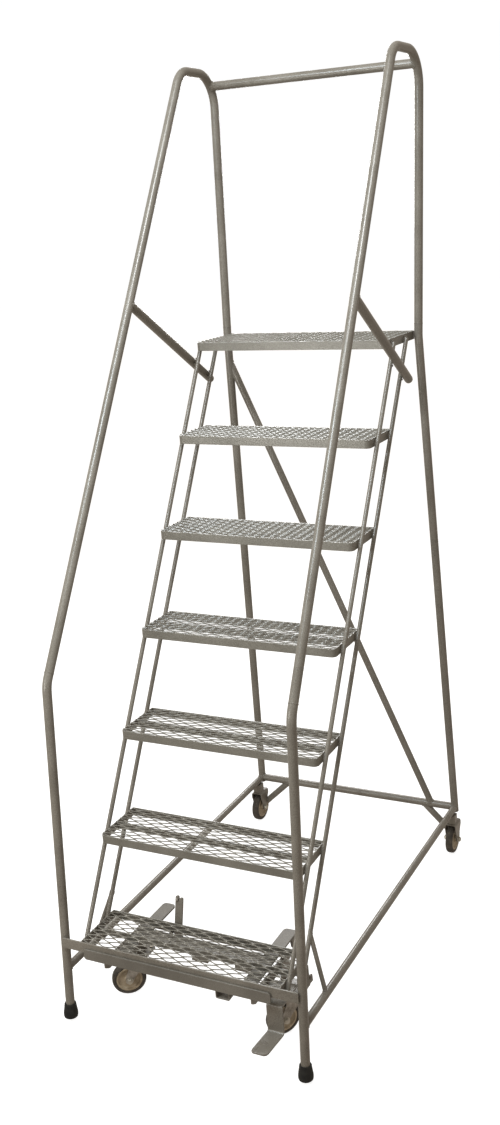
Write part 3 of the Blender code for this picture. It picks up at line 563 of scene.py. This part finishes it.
UPHILL = Vector((0.0, RUN / RISE, 1.0))
for word, side in SIDES:
    leg, rail, rear = side_lines(side)
    leg_axis = (leg[1] - leg[0]).normalized()
    rear_axis = (rear[2] - rear[1]).normalized()
    rail_axis = (rail[1] - rail[0]).normalized()

    shape = bmesh.new()
    tube(shape, rounded_path(leg, [KNEE_BEND]), TUBE)
    splice_ring(shape, leg[2], rail_axis)
    frame_piece(f"front_leg_tube_{word}", shape, f"front_leg_{word}")

    shape = bmesh.new()
    tube(shape, rounded_path(rail, RAIL_BENDS, 20), TUBE)
    frame_piece(f"handrail_tube_{word}", shape, f"handrail_{word}")

    shape = bmesh.new()
    tube(shape, rounded_path(rear, [KINK_BEND]), TUBE, wall=WALL)
    splice_ring(shape, rear[0], (rear[0] - rear[1]).normalized())
    frame_piece(f"rear_leg_tube_{word}", shape, f"rear_leg_{word}")

    front = mirrored(between(FOOT, KNEE, BASE_FRONT), side)
    back = mirrored(CORNER, side)
    shape = bmesh.new()
    tube(shape, [front, back], BRACE)
    weld(shape, back, front, BRACE, front, leg_axis, TUBE)
    weld(shape, front, back, BRACE, back, rear_axis, TUBE)
    frame_piece(f"base_side_tube_{word}", shape, f"base_tube_{word}")

    shape = bmesh.new()
    top = mirrored((0.2580, CORNER.y, CORNER.z), side)
    bottom = mirrored((0.3620, CORNER.y - 0.003, 0.0560), side)
    tube(shape, [top, bottom], BRACE, wall=WALL)
    mitre(shape, (top - bottom).normalized(), FORK_FACE)
    weld(shape, bottom, top, BRACE, Vector((0, CORNER.y, CORNER.z)), (1, 0, 0), TUBE)
    frame_piece(f"rear_caster_stay_{word}", shape, f"rear_caster_brace_{word}")

    for where in SETBACK:
        shape = bmesh.new()
        low = stringer(where, 0.2400, side)
        high = stringer(where, TOP_1 + (STEP_COUNT - 1) * RISE - 0.014, side)
        tube(shape, [low, low.lerp(high, 0.5), high], ROD, ROD_SIDES)
        run = UPHILL.normalized() * 0.011
        for step in range(STEP_COUNT):
            flange = TOP_1 + step * RISE - 0.015
            for reach in (-1, 1):
                spot = stringer(where, flange, side)
                spot.x -= side * ROD * 0.85
                spot.y += reach * ROD * 0.62
                smear(shape, spot - run, spot + run, 0.0021)
        frame_piece(f"{where}_stringer_rod_{word}", shape, f"{where}_stringer_{word}")

    # The stay narrows to a blunt tip, and it is welded to both stringers as it passes them.
    shape = bmesh.new()
    top = mirrored(between(KNEE, RAIL_FRONT, STAY_TOP), side)
    end_y = stringer("rear", STAY_BOTTOM).y + STAY_OVERHANG[word]
    end = Vector((side * (STRINGER_X + ROD + TUBE), end_y, STAY_BOTTOM))
    back_along = (top - end).normalized()
    spots = [(top - end).length, 0.020, 0.010, 0.0055, 0.0025, 0.0006, 0.0]
    pinch = [1, 1, 0.985, 0.93, 0.80, 0.60, 0.40]
    tube(shape, [end + back_along * d for d in spots], TUBE, scales=pinch)
    weld(shape, end, top, TUBE, top, rail_axis, TUBE)
    for where in SETBACK:
        foot = stringer(where, 1.60, side)
        apart = back_along.z * (foot.y - end.y) - back_along.y * (foot.z - end.z)
        share = apart / (back_along.y * UPHILL.z - back_along.z * UPHILL.y)
        spot = foot + UPHILL * share
        spot.x += side * ROD
        for reach in (-1, 1):
            middle = spot + Vector((0.0, back_along.z, -back_along.y)) * reach * 0.0095
            smear(shape, middle - back_along * 0.007, middle + back_along * 0.007, 0.0024)
    frame_piece(f"handrail_stay_{word}", shape, f"handrail_brace_{word}")

    shape = bmesh.new()
    top = stringer("rear", 0.3150, side)
    foot = front.lerp(back, (0.1560 - front.y) / (back.y - front.y))
    tube(shape, [top, foot], ROD, ROD_SIDES)
    weld(shape, top, foot, ROD, front, back - front, BRACE, 0.0018, 22)
    weld(shape, foot, top, ROD, top, UPHILL, ROD, 0.0018, 22)
    frame_piece(f"stringer_strut_rod_{word}", shape, f"stringer_strut_{word}")

    shape = bmesh.new()
    axis = (mirrored(KNEE, side) - mirrored(FOOT, side)).normalized()
    base = mirrored(between(FOOT, KNEE, CLEARANCE), side)
    profile = [(0.0, 0.0), (0.0120, 0.0), (0.0125, 0.0012), (0.0150, 0.0012), (0.0155, 0.0)]
    profile += [(0.0176, 0.0004), (0.0194, 0.0022), (0.0203, 0.0055), (0.0206, 0.0110), (0.0203, 0.0170)]
    profile += [(0.0176, 0.0350), (0.0168, 0.0420), (0.0160, 0.0440), (0.0136, 0.0440), (0.0130, 0.0420)]
    profile += [(0.0, 0.0420)]
    lathe_solid(shape, profile, base, axis, 40)
    for vert in shape.verts:
        vert.co.z = max(vert.co.z, CLEARANCE)
    node = f"rubber_foot_{word}"
    finish_piece(f"rubber_tip_{word}", shape, "ladder_frame", "black_rubber", [node], smooth=50)

shape = bmesh.new()
left_corner, right_corner = mirrored(CORNER, -1), CORNER
tube(shape, [left_corner, right_corner], TUBE)
for start, end, side in ((right_corner, left_corner, -1), (left_corner, right_corner, 1)):
    rear = side_lines(side)[2]
    weld(shape, start, end, TUBE, end, rear[2] - rear[1], TUBE)
frame_piece("rear_cross_tube", shape, "rear_crossbar")

rail = rounded_path(side_lines(1)[1], RAIL_BENDS, 40)
spot = min(rail, key=lambda p: abs(p.z - BAR_HEIGHT) + (10 if p.y < KINK.y else 0))
index = rail.index(spot)
shape = bmesh.new()
ends = [Vector((side * spot.x, spot.y, BAR_HEIGHT)) for side in (-1, 1)]
tube(shape, ends, TUBE)
for start, end, side in ((ends[1], ends[0], -1), (ends[0], ends[1], 1)):
    tangent = mirrored(rail[index + 1] - rail[index - 1], side)
    weld(shape, start, end, TUBE, end, tangent, TUBE)
frame_piece("handrail_cross_tube", shape, "handrail_crossbar")

shape = bmesh.new()
top, bottom = Vector((-0.3195, 1.1790, 1.6900)), Vector((0.2870, CORNER.y, CORNER.z))
down = (bottom - top).normalized()
line = [top - down * 0.006, top, top + down * 0.006, bottom]
tube(shape, line, BRACE, scales=[0.72, 0.95, 1, 1])
rear = side_lines(-1)[2]
weld(shape, bottom, top, BRACE, rear[1], rear[2] - rear[1], TUBE)
weld(shape, top, bottom, BRACE, Vector((0, CORNER.y, CORNER.z)), (1, 0, 0), TUBE)
frame_piece("rear_diagonal_tube", shape, "rear_diagonal_brace")

shape = bmesh.new()
outline = soft_rectangle((-0.3620, 0.2375), (0.3620, 0.2680), [0.002] * 4, 3)
prism(shape, outline, "y", -0.0008, 0.0040)
for side in (-1, 1):
    x = side * 0.3560
    smear(shape, (x, 0.0050, 0.2380), (x, 0.0060, 0.2670), 0.0026)
frame_piece("front_cross_bar", shape, "front_crossbar", bevel=0.0008)


# ---- Steps ----
def clipped_zigzag(stations, limit):
    """The points of a zigzag of (x, u) that lie within the limit on both sides, ends included."""
    points = []
    for (x0, u0), (x1, u1) in zip(stations, stations[1:]):
        if x1 <= -limit or x0 >= limit:
            continue
        for x in (max(x0, -limit), min(x1, limit)):
            if not points or x - points[-1][0] > 1e-4:
                points.append((x, u0 + (u1 - u0) * (x - x0) / (x1 - x0)))
    return points


def expanded_mesh(shape, x_limit, front, back, top, corner):
    """Raised expanded metal: zigzag ribbons that twist, and touch their neighbours at the bonds."""
    bond, margin = math.radians(BOND_TILT), 0.003
    drop = top - 1.5 * STRAND_WIDE * math.sin(bond) - STRAND_THICK * math.cos(bond) / 2
    section = ((-1, -0.6), (-0.8, -1), (0.8, -1), (1, -0.6), (1, 0.6), (0.8, 1), (-0.8, 1), (-1, 0.6))
    depth = back - front - 2 * margin
    rows = int(round(depth / (CELL_SHORT / 2)))
    pitch = depth / rows
    reach = pitch / 2 - STRAND_WIDE * math.cos(bond) / 2
    cells = int(x_limit / CELL_LONG) + 2
    for row in range(rows):
        middle = front + margin + pitch * (row + 0.5)
        stations = []
        for cell in range(-cells, cells + 1):
            centre = (cell + 0.5 * (row % 2)) * CELL_LONG
            for part, up in ((0.0, 1), (0.5, -1)):
                stations.append((centre + part * CELL_LONG - BOND_LENGTH / 2, up))
                stations.append((centre + part * CELL_LONG + BOND_LENGTH / 2, up))
                stations.append((centre + (part + 0.25) * CELL_LONG, 0))
        limit = x_limit
        if middle - front < corner:
            off_corner = corner - (middle - front)
            limit = x_limit - corner + math.sqrt(max(corner ** 2 - off_corner ** 2, 0.0))
        rings = []
        for x, u in clipped_zigzag(stations, limit):
            tilt = math.radians(STRAND_TILT + (BOND_TILT - STRAND_TILT) * abs(u))
            half = STRAND_WIDE / 2 * (0.78 + 0.22 * abs(u))
            centre = Vector((x, middle + u * reach, drop + (1 - u) * STRAND_WIDE / 2 * math.sin(bond)))
            lift = Vector((0.0, math.cos(tilt), math.sin(tilt))) * half
            face = Vector((0.0, -math.sin(tilt), math.cos(tilt))) * STRAND_THICK / 2
            points = [centre + lift * along + face * across for along, across in section]
            rings.append([shape.verts.new(point) for point in points])
        for first, second in zip(rings, rings[1:]):
            bridge(shape, first, second)
        shape.faces.new(list(reversed(rings[0])))
        shape.faces.new(rings[-1])


def step_ring(shape, front, back, low, high, corner, wall=0.0032):
    """The flat bar bent into a ring round the tread."""
    radii = (corner, corner, 0.004, 0.004)
    outer = soft_rectangle((-HALF_STEP, front), (HALF_STEP, back), radii)
    inner_radii = [max(radius - wall, 0.0006) for radius in radii]
    inner = soft_rectangle((-HALF_STEP + wall, front + wall), (HALF_STEP - wall, back - wall), inner_radii)
    loops = []
    for outline, z in ((outer, low), (outer, high), (inner, high), (inner, low)):
        loops.append([shape.verts.new((x, y, z)) for x, y in outline])
    for first, second in zip(loops, loops[1:] + loops[:1]):
        bridge(shape, first, second)


for number in range(1, STEP_COUNT + 1):
    top = TOP_1 + (number - 1) * RISE
    line = FRONT_1 + (number - 1) * RUN
    front = 0.0045 if number == 1 else line
    back = line + (TOP_STEP_DEPTH if number == STEP_COUNT else STEP_DEPTH)
    corner = 0.004 if number == 1 else 0.0150
    shape = bmesh.new()
    step_ring(shape, front, back, top - 0.0266, top - 0.0022, corner)
    rib_x = (-HALF_STEP + 0.002, HALF_STEP - 0.002)
    middle = (front + back) / 2
    prism(shape, rectangle(rib_x, (top - 0.0255, top - 0.0060)), "y", middle - 0.0016, middle + 0.0016)
    if number == 1:
        for x in (TRIP.x - EAR_OFFSET, TRIP.x + EAR_OFFSET):
            outline = [(back - 0.002, 0.2450), (back - 0.002, 0.2210)]
            outline += arc((TRIP.y, TRIP.z), 0.0090, -100, 60, 10)
            prism(shape, outline, "x", x - 0.0016, x + 0.0016)
    node = f"step_{number}_frame"
    # The rim wears the darker copy of the step paint: painted shade.
    finish_piece(f"step_{number}_rim", shape, "ladder_frame", "step_edge", [node], bevel=0.0007)
    shape = bmesh.new()
    expanded_mesh(shape, HALF_STEP - 0.0004, front, back, top, corner)
    node = f"step_{number}_tread"
    finish_piece(f"step_{number}_mesh", shape, "ladder_frame", "step_paint", [node], smooth=30)

# ---- Under-step fixed parts ----
for word, side in SIDES:
    inner = SUPPORT_INNER[word]
    shape = bmesh.new()
    low, high = side_range(side, inner, inner + 0.0400)
    outline = soft_rectangle((low, 0.0060), (high, 0.3000), (0.002, 0.002, 0.012, 0.012), 6)
    prism(shape, outline, "z", *SUPPORT_Z)
    ear = [(0.2960, 0.2330), (0.2600, 0.2330)] + arc((0.2800, 0.2090), 0.0140, 190, 350, 12)
    prism(shape, ear, "x", *side_range(side, inner + 0.0330, inner + 0.0390))
    seam = side * (inner + 0.0320)
    smear(shape, (seam, 0.262, 0.2300), (seam, 0.296, 0.2300), 0.0022)
    node = f"support_bar_{word}"
    # The support bar wears the darker copy of the powder coat: painted shade.
    finish_piece(f"under_step_bar_{word}", shape, "ladder_frame", "low_bar", [node], bevel=0.0008)

shape = bmesh.new()
y, z = PIVOT.y, PIVOT.z
tube(shape, [(-0.3280, y, z), (0.3280, y, z)], SHAFT, ROD_SIDES)
outline = [(y + 0.016, z - 0.020), (y - 0.020, z - 0.018), (y - 0.020, z + 0.044)]
outline += [(y - 0.008, z + 0.044), (y - 0.006, z + 0.007), (y + 0.013, z + 0.002)]
for side in (-1, 1):
    prism(shape, outline, "x", *side_range(side, 0.3215, 0.3260))
plate_x = (0.0002 - SUPPORT_INNER["left"], SUPPORT_INNER["right"] - 0.0002)
prism(shape, rectangle(plate_x, (0.1240, 0.1640)), "z", *SUPPORT_Z)
for face in (-0.0230, 0.1120):
    # A saddle that holds the rod under the plate: two cheeks joined by a wall in front.
    far = face + 0.0500
    wall = [(face, 0.1640), (face, 0.1242), (far, 0.1242), (far, 0.1640), (far - 0.0032, 0.1640)]
    wall += [(far - 0.0032, 0.1274), (face + 0.0032, 0.1274), (face + 0.0032, 0.1640)]
    prism(shape, wall, "z", 0.1960, 0.2320)
frame_piece("pivot_rod_and_plates", shape, "rocker_pivot_rod", bevel=0.0006)

# ---- Rocker ----
for word, side in SIDES:
    shape = bmesh.new()
    outline = [(-0.0014, 0.2330), (-0.0014, 0.2020), (0.0150, 0.1920), (0.2200, 0.1920)]
    outline += arc((0.2250, 0.2070), 0.0150, 270, 450, 12) + [(0.0400, 0.2270), (0.0150, 0.2330)]
    prism(shape, outline, "x", *side_range(side, *ARM_X))
    node = f"rocker_arm_{word}"
    finish_piece(f"rocker_side_bar_{word}", shape, "rocker", "powder_coat", [node], bevel=0.0008)

    shape = bmesh.new()
    low, high = side_range(side, 0.2050, 0.2920)
    prism(shape, soft_rectangle((low, 0.1450), (high, 0.2250), [0.008] * 4), "z", *HANGER_Z)
    web = [(0.164, 0.134), (0.216, 0.134), (0.216, 0.205), (0.206, 0.218), (0.174, 0.218), (0.164, 0.205)]
    prism(shape, web, "x", *side_range(side, *WEB_X))
    smear(shape, (side * 0.2362, 0.166, 0.1350), (side * 0.2362, 0.214, 0.1350), 0.0026)
    race = [(0.0, 0.1298), (0.0285, 0.1298), (0.0290, 0.1262), (0.0272, 0.1222), (0.0255, 0.1212)]
    race += [(0.0, 0.1212)]
    lathe_solid(shape, race, Vector((side * SWIVEL.x, SWIVEL.y, 0.0)), (0, 0, 1))
    node = f"caster_bracket_{word}"
    finish_piece(f"caster_hanger_{word}", shape, "rocker", "powder_coat", [node], bevel=0.0007)

    shape = bmesh.new()
    for x in (0.2150, 0.2810):
        for y in (0.1550, 0.2150):
            hexagon(shape, (side * x, y, HANGER_Z[1]), (0, 0, 1), 0.0100, 0.0045, 0.3 * x * 100)
            hexagon(shape, (side * x, y, HANGER_Z[0]), (0, 0, -1), 0.0100, 0.0042, 0.5 * y * 100)
    finish_piece(f"caster_plate_bolts_{word}", shape, "rocker", "zinc", smooth=30)

shape = bmesh.new()
tube(shape, [(-0.2240, TAIL.y, TAIL.z), (0.2231, TAIL.y, TAIL.z)], SHAFT, ROD_SIDES)
finish_piece("trip_catch_rod", shape, "rocker", "powder_coat")

shape = bmesh.new()
outline = soft_rectangle((-0.2900, 0.2200), (0.2850, 0.2525), (0.008, 0.008, 0.010, 0.008))
prism(shape, outline, "y", -0.0068, -0.0018)
# The foot bar and its channel below wear the darker copy of the powder coat: painted shade.
finish_piece("rocker_foot_bar", shape, "rocker", "low_bar", ["rocker_front_bar"], bevel=0.0010)
shape = bmesh.new()
outline = [(0.1200, 0.2290), (0.1200, 0.1990), (0.1230, 0.1960), (0.1590, 0.1960), (0.1620, 0.1990)]
outline += [(0.1620, 0.2290), (0.1588, 0.2290), (0.1588, 0.2006), (0.1576, 0.1994), (0.1244, 0.1994)]
outline += [(0.1232, 0.2006), (0.1232, 0.2290)]
prism(shape, outline, "y", -0.0036, 0.0260)
finish_piece("foot_bar_channel", shape, "rocker", "low_bar", bevel=0.0005)


def strap(shape, line, low_x, high_x, thick, toe=0.012):
    """A flat bar bent along a (y, z) line; its last end has rounded corners."""
    total = len(line)
    normals = []
    for index in range(total):
        before, after = line[max(index - 1, 0)], line[min(index + 1, total - 1)]
        direction = Vector((after[0] - before[0], after[1] - before[1])).normalized()
        normals.append(Vector((-direction.y, direction.x)) * thick / 2)
    lengths = [0.0]
    for a, b in zip(line, line[1:]):
        lengths.append(lengths[-1] + math.hypot(b[0] - a[0], b[1] - a[1]))
    rings = []
    for (y, z), normal, run in zip(line, normals, lengths):
        left = lengths[-1] - run
        pull = toe - math.sqrt(max(toe ** 2 - (toe - left) ** 2, 0.0)) if left < toe else 0.0
        made = []
        for x, way in ((low_x + pull, -1), (high_x - pull, -1), (high_x - pull, 1), (low_x + pull, 1)):
            made.append(shape.verts.new((x, y + normal.x * way, z + normal.y * way)))
        rings.append(made)
    for first, second in zip(rings, rings[1:]):
        bridge(shape, first, second)
    shape.faces.new(list(reversed(rings[0])))
    shape.faces.new(rings[-1])


shape = bmesh.new()
line = [(0.1100, 0.2055), (0.0600, 0.2055)] + arc((0.0195, 0.1975), 0.0080, 90, 180, 8)
line += arc((0.0035, 0.1310), 0.0080, 360, 276, 8)
start, tip = line[-1], (-0.0958, 0.1335)
for share in (0.3, 0.6, 0.80, 0.88, 0.93, 0.96, 0.98, 0.992, 1.0):
    line.append((start[0] + (tip[0] - start[0]) * share, start[1] + (tip[1] - start[1]) * share))
strap(shape, line, 0.2620, 0.3090, 0.0050)
prism(shape, rectangle((WEB_X[0], 0.2700), (0.0600, 0.1090)), "z", 0.2031, 0.2079)
finish_piece("rocker_pedal_strap", shape, "rocker", "powder_coat", ["lock_pedal"], bevel=0.0008, smooth=30)

# ---- Trip lever ----
lean = Matrix.Translation(TRIP) @ Matrix.Rotation(-math.radians(TRIP_LEAN), 4, "X")
shape = bmesh.new()
outline = [(-0.0118, -0.0240), (-0.0100, -0.0260), (0.0100, -0.0260), (0.0118, -0.0240)]
outline += [(0.0118, 0.0960), (0.0110, 0.0985), (0.0090, 0.1000), (0.0045, 0.1000), (0.0030, 0.0985)]
outline += [(0.0028, 0.0930), (0.0010, 0.0915), (-0.0010, 0.0930), (-0.0012, 0.1010), (-0.0022, 0.1035)]
outline += [(-0.0050, 0.1046), (-0.0085, 0.1040), (-0.0110, 0.1015), (-0.0118, 0.0985)]
prism(shape, outline, "y", -0.0030, 0.0030)
boss = [(0.0042, -0.0117), (0.0080, -0.0117), (0.0080, 0.0117), (0.0042, 0.0117)]
lathe(shape, boss, (0, 0, 0), (1, 0, 0), 24)
nose = [(0.0020, -0.0100), (-0.0020, -0.0340), (0.0200, -0.0300), (0.0200, -0.0240)]
prism(shape, nose, "x", -0.0117, 0.0117)
finish_piece("trip_lever_blade", shape, "trip_lever", "powder_coat", ["trip_lever"], bevel=0.0006, turn=lean)
shape = bmesh.new()
for way in (-1, 1):
    hexagon(shape, (-0.0060, way * 0.0030, 0.0930), (0, way, 0), 0.0080, 0.0040)
finish_piece("trip_lever_bolt", shape, "trip_lever", "fork", turn=lean, smooth=30)
shape = bmesh.new()
tube(shape, [TRIP - Vector((0.024, 0, 0)), TRIP + Vector((0.024, 0, 0))], 0.0038, 16)
for way in (-1, 1):
    hexagon(shape, TRIP + Vector((way * 0.0181, 0, 0)), (way, 0, 0), 0.0090, 0.0042)
finish_piece("trip_lever_pin", shape, "ladder_frame", "fork", smooth=30)


# ---- Casters ----
def fork_plate(shape, wheel_y, front, back, thick=0.0030):
    """A stamped fork: two tapering legs bent down from the crown, each round about the axle."""
    lobe, radius = 0.0118, 0.0060
    stations = []
    for degrees in (90, 72, 54, 36, 18, 0):
        a = math.radians(degrees)
        reach = lobe * math.cos(a)
        stations.append((WHEEL_R - lobe * math.sin(a), wheel_y - reach, wheel_y + reach))
    for share in (0.25, 0.5, 0.75, 1.0):
        height = WHEEL_R + (CROWN - radius - 0.010 - WHEEL_R) * share
        ease = share ** 1.35
        near = wheel_y - lobe + (front - wheel_y + lobe) * ease
        far = wheel_y + lobe + (back - wheel_y - lobe) * ease
        stations.append((height, near, far))
    path = [(FORK_HALF, z, a, b) for z, a, b in stations] + [(FORK_HALF, CROWN - radius, front, back)]
    for x, z in arc((FORK_HALF - radius, CROWN - radius), radius, 0, 90, 6)[1:]:
        path.append((x, z, front, back))
    path = path + [(-x, z, a, b) for x, z, a, b in reversed(path)]
    inner, outer = [], []
    for index, (x, z, a, b) in enumerate(path):
        before, after = path[max(index - 1, 0)], path[min(index + 1, len(path) - 1)]
        direction = Vector((after[0] - before[0], 0, after[1] - before[1]))
        normal = Vector((direction.z, 0, -direction.x)).normalized() * thick / 2
        for target, way in ((outer, 1), (inner, -1)):
            row = (a, a * 0.5 + b * 0.5, b)
            target.append([shape.verts.new((x + normal.x * way, y, z + normal.z * way)) for y in row])
    for grid, flip in ((outer, False), (inner, True)):
        for first, second in zip(grid, grid[1:]):
            for column in (0, 1):
                corners = (first[column], first[column + 1], second[column + 1], second[column])
                shape.faces.new(corners if flip else tuple(reversed(corners)))
    for o0, o1, i0, i1 in zip(outer, outer[1:], inner, inner[1:]):
        shape.faces.new((o0[0], o1[0], i1[0], i0[0]))
        shape.faces.new((o0[2], i0[2], i1[2], o1[2]))
    for o, i in ((outer[0], inner[0]), (outer[-1], inner[-1])):
        for column in (0, 1):
            shape.faces.new((o[column], o[column + 1], i[column + 1], i[column]))


def wheel_pieces(name, matrix, wheel):
    """Tyre and hub, turned about the local X axis. The CAD's body and nodes take the wheel's name."""
    w = WHEEL_HALF
    tyre = [(0.0386, -w * 0.90), (0.0398, -w), (0.0440, -w * 0.98), (0.0474, -w * 0.90)]
    tyre += [(0.0492, -w * 0.72), (0.0500, -w * 0.42)]
    tyre += [(WHEEL_R, 0.0)] + [(radius, -x) for radius, x in reversed(tyre)]
    shape = bmesh.new()
    lathe(shape, tyre, (0, 0, 0), (1, 0, 0), 72)
    finish_piece(f"{name}_rubber", shape, wheel, "tyre", [f"{wheel}_tyre"], smooth=50, turn=matrix)
    half = [(0.0066, 0.0145), (0.0105, 0.0145), (0.0118, 0.0135), (0.0128, 0.0078), (0.0150, 0.0062)]
    half += [(0.0185, 0.0058), (0.0192, 0.0066), (0.0206, 0.0066), (0.0214, 0.0056), (0.0290, 0.0058)]
    half += [(0.0310, 0.0072), (0.0326, 0.0112), (0.0340, 0.0120), (0.0372, 0.0118), (0.0384, 0.0106)]
    shape = bmesh.new()
    lathe(shape, half + [(radius, -x) for radius, x in reversed(half)], (0, 0, 0), (1, 0, 0), 64)
    finish_piece(f"{name}_centre", shape, wheel, "hub_plastic", [f"{wheel}_hub"], smooth=35, turn=matrix)


def axle_shapes(shape, wheel_y, reach):
    """The axle, with a washer and a nut outside each fork leg."""
    tube(shape, [(-reach, wheel_y, WHEEL_R), (reach, wheel_y, WHEEL_R)], SHAFT, ROD_SIDES)
    thick = 0.0014
    washer = [(0.0062, 0.0), (0.0105, 0.0), (0.0105, thick), (0.0062, thick)]
    for side in (-1, 1):
        face = side * 0.0199
        lathe(shape, washer, (face, wheel_y, WHEEL_R), (side, 0, 0), 28)
        nut = (face + side * thick, wheel_y, WHEEL_R)
        hexagon(shape, nut, (side, 0, 0), 0.0145, 0.0060, 0.4 * side)


for word, side in SIDES:
    heading = Matrix.Rotation(math.radians(HEADING[word] - 90), 4, "Z")
    turn = Matrix.Translation(mirrored(SWIVEL, side)) @ heading
    body = f"front_caster_{word}"
    shape = bmesh.new()
    fork_plate(shape, -TRAIL, -0.0260, 0.0260)
    race = [(0.0, 0.1120), (0.0235, 0.1120), (0.0252, 0.1150), (0.0246, 0.1190), (0.0222, 0.1203)]
    race += [(0.0, 0.1203)]
    lathe_solid(shape, race, (0, 0, 0), (0, 0, 1))
    node = f"front_caster_fork_{word}"
    finish_piece(f"caster_fork_{word}", shape, body, "fork", [node], bevel=0.0005, turn=turn)
    shape = bmesh.new()
    axle_shapes(shape, -TRAIL, 0.0292)
    tube(shape, [(0, 0, 0.1200), (0, 0, 0.1395)], 0.0055, ROD_SIDES)
    hexagon(shape, (0, 0, 0.1350), (0, 0, 1), 0.0170, 0.0045, 0.2)
    finish_piece(f"caster_axle_{word}", shape, body, "zinc", smooth=30, turn=turn)
    hub = turn @ Vector((0.0, -TRAIL, WHEEL_R))
    wheel_pieces(f"front_caster_wheel_{word}", Matrix.Translation(hub) @ heading, f"front_wheel_{word}")

    place = mirrored(REAR_WHEEL, side)
    shift = Matrix.Translation((place.x, place.y, 0.0))
    shape = bmesh.new()
    fork_plate(shape, 0.0, -0.0250, 0.0330)
    riser = soft_rectangle((-0.0150, -0.0200), (0.0150, 0.0100), [0.004] * 4)
    prism(shape, riser, "z", CROWN, CORNER.z - BRACE)
    for x in (-0.0150, 0.0150):
        smear(shape, (x, -0.018, 0.1140), (x, 0.008, 0.1140), 0.0022)
    frame_piece(f"rear_fork_{word}", shape, f"rear_caster_fork_{word}", bevel=0.0005, turn=shift)
    shape = bmesh.new()
    axle_shapes(shape, 0.0, 0.0285)
    finish_piece(f"rear_axle_{word}", shape, "ladder_frame", "zinc", smooth=30, turn=shift)
    wheel_pieces(f"rear_caster_wheel_{word}", Matrix.Translation(place), f"rear_wheel_{word}")


# ---- Floor, light and camera ----
def stage_piece(name, shape, glow, tint):
    """The floor and the backdrop: seen by the camera, but no source of light for the ladder."""
    mesh = bpy.data.meshes.new(name)
    shape.to_mesh(mesh)
    shape.free()
    mesh.materials.append(stage_finish(f"{name}_finish", glow, tint))
    mesh.shade_smooth()
    made = bpy.data.objects.new(name, mesh)
    made.visible_diffuse = False
    made.visible_glossy = False
    made.visible_shadow = False
    bpy.context.scene.collection.objects.link(made)


FLOOR_RADIUS, BACKDROP_RADIUS = 30.0, 29.5
shape = bmesh.new()
turned = [math.pi * index / 24 for index in range(48)]
rim = [(FLOOR_RADIUS * math.cos(a), FLOOR_RADIUS * math.sin(a), 0.0) for a in turned]
shape.faces.new([shape.verts.new(point) for point in rim])
stage_piece("floor", shape, 0.87, 0.36)
shape = bmesh.new()
bmesh.ops.create_uvsphere(shape, u_segments=48, v_segments=24, radius=BACKDROP_RADIUS)
bmesh.ops.reverse_faces(shape, faces=shape.faces)
stage_piece("backdrop", shape, 1.0, 0.02)

world = bpy.data.worlds.new("studio")
bpy.context.scene.world = world
world.use_nodes = True
sky = world.node_tree.nodes["Background"]
sky.inputs["Color"].default_value = (1.0, 0.88, 0.75, 1.0)
sky.inputs["Strength"].default_value = 0.56


def area_light(name, place, target, size, power, colour=(1, 1, 1)):
    """A square light of that size in metres and power in watts, aimed at the target."""
    data = bpy.data.lights.new(name, "AREA")
    data.size = size
    data.energy = power
    data.color = colour
    made = bpy.data.objects.new(name, data)
    made.location = place
    made.rotation_euler = (Vector(target) - Vector(place)).to_track_quat("-Z", "Y").to_euler()
    bpy.context.scene.collection.objects.link(made)


area_light("key", (-0.6, -1.7, 3.3), (0, 0, 1.4), 0.7, 57, (0.84, 0.94, 1.0))
area_light("overhead", (0.2, -1.3, 4.4), (0, 0, 1.3), 0.7, 88, (0.95, 0.98, 1.0))
area_light("back", (-1.6, 3.4, 2.6), (0, 0, 1.1), 1.2, 60)
area_light("side", (-1.0, -2.1, 1.3), (0, -0.3, 0.6), 0.7, 17, (1.0, 0.97, 0.90))

azimuth, elevation, roll = math.radians(26.453), math.radians(-18.408), math.radians(-3.778)
level = Vector((-math.sin(azimuth), math.cos(azimuth), 0.0))
forward = level * math.cos(elevation) + Vector((0.0, 0.0, math.sin(elevation)))
right = Vector((math.cos(azimuth), math.sin(azimuth), 0.0))
up = right.cross(forward)
rolled_right = math.cos(roll) * right + math.sin(roll) * up
rolled_up = -math.sin(roll) * right + math.cos(roll) * up
camera = bpy.data.cameras.new("camera")
camera_object = bpy.data.objects.new("camera", camera)
bpy.context.scene.collection.objects.link(camera_object)
turned = Matrix((rolled_right, rolled_up, -forward)).transposed().to_4x4()
turned.translation = Vector((1.5350, -2.3280, 2.1669)) + SHIFT
camera_object.matrix_world = turned
camera.sensor_width = 36.0
camera.lens = 38.709
camera.shift_x = -0.02472
camera.shift_y = 0.04152
camera.dof.use_dof = False
bpy.context.scene.camera = camera_object
bpy.context.scene.view_settings.view_transform = "Standard"
bpy.context.scene.view_settings.look = "None"
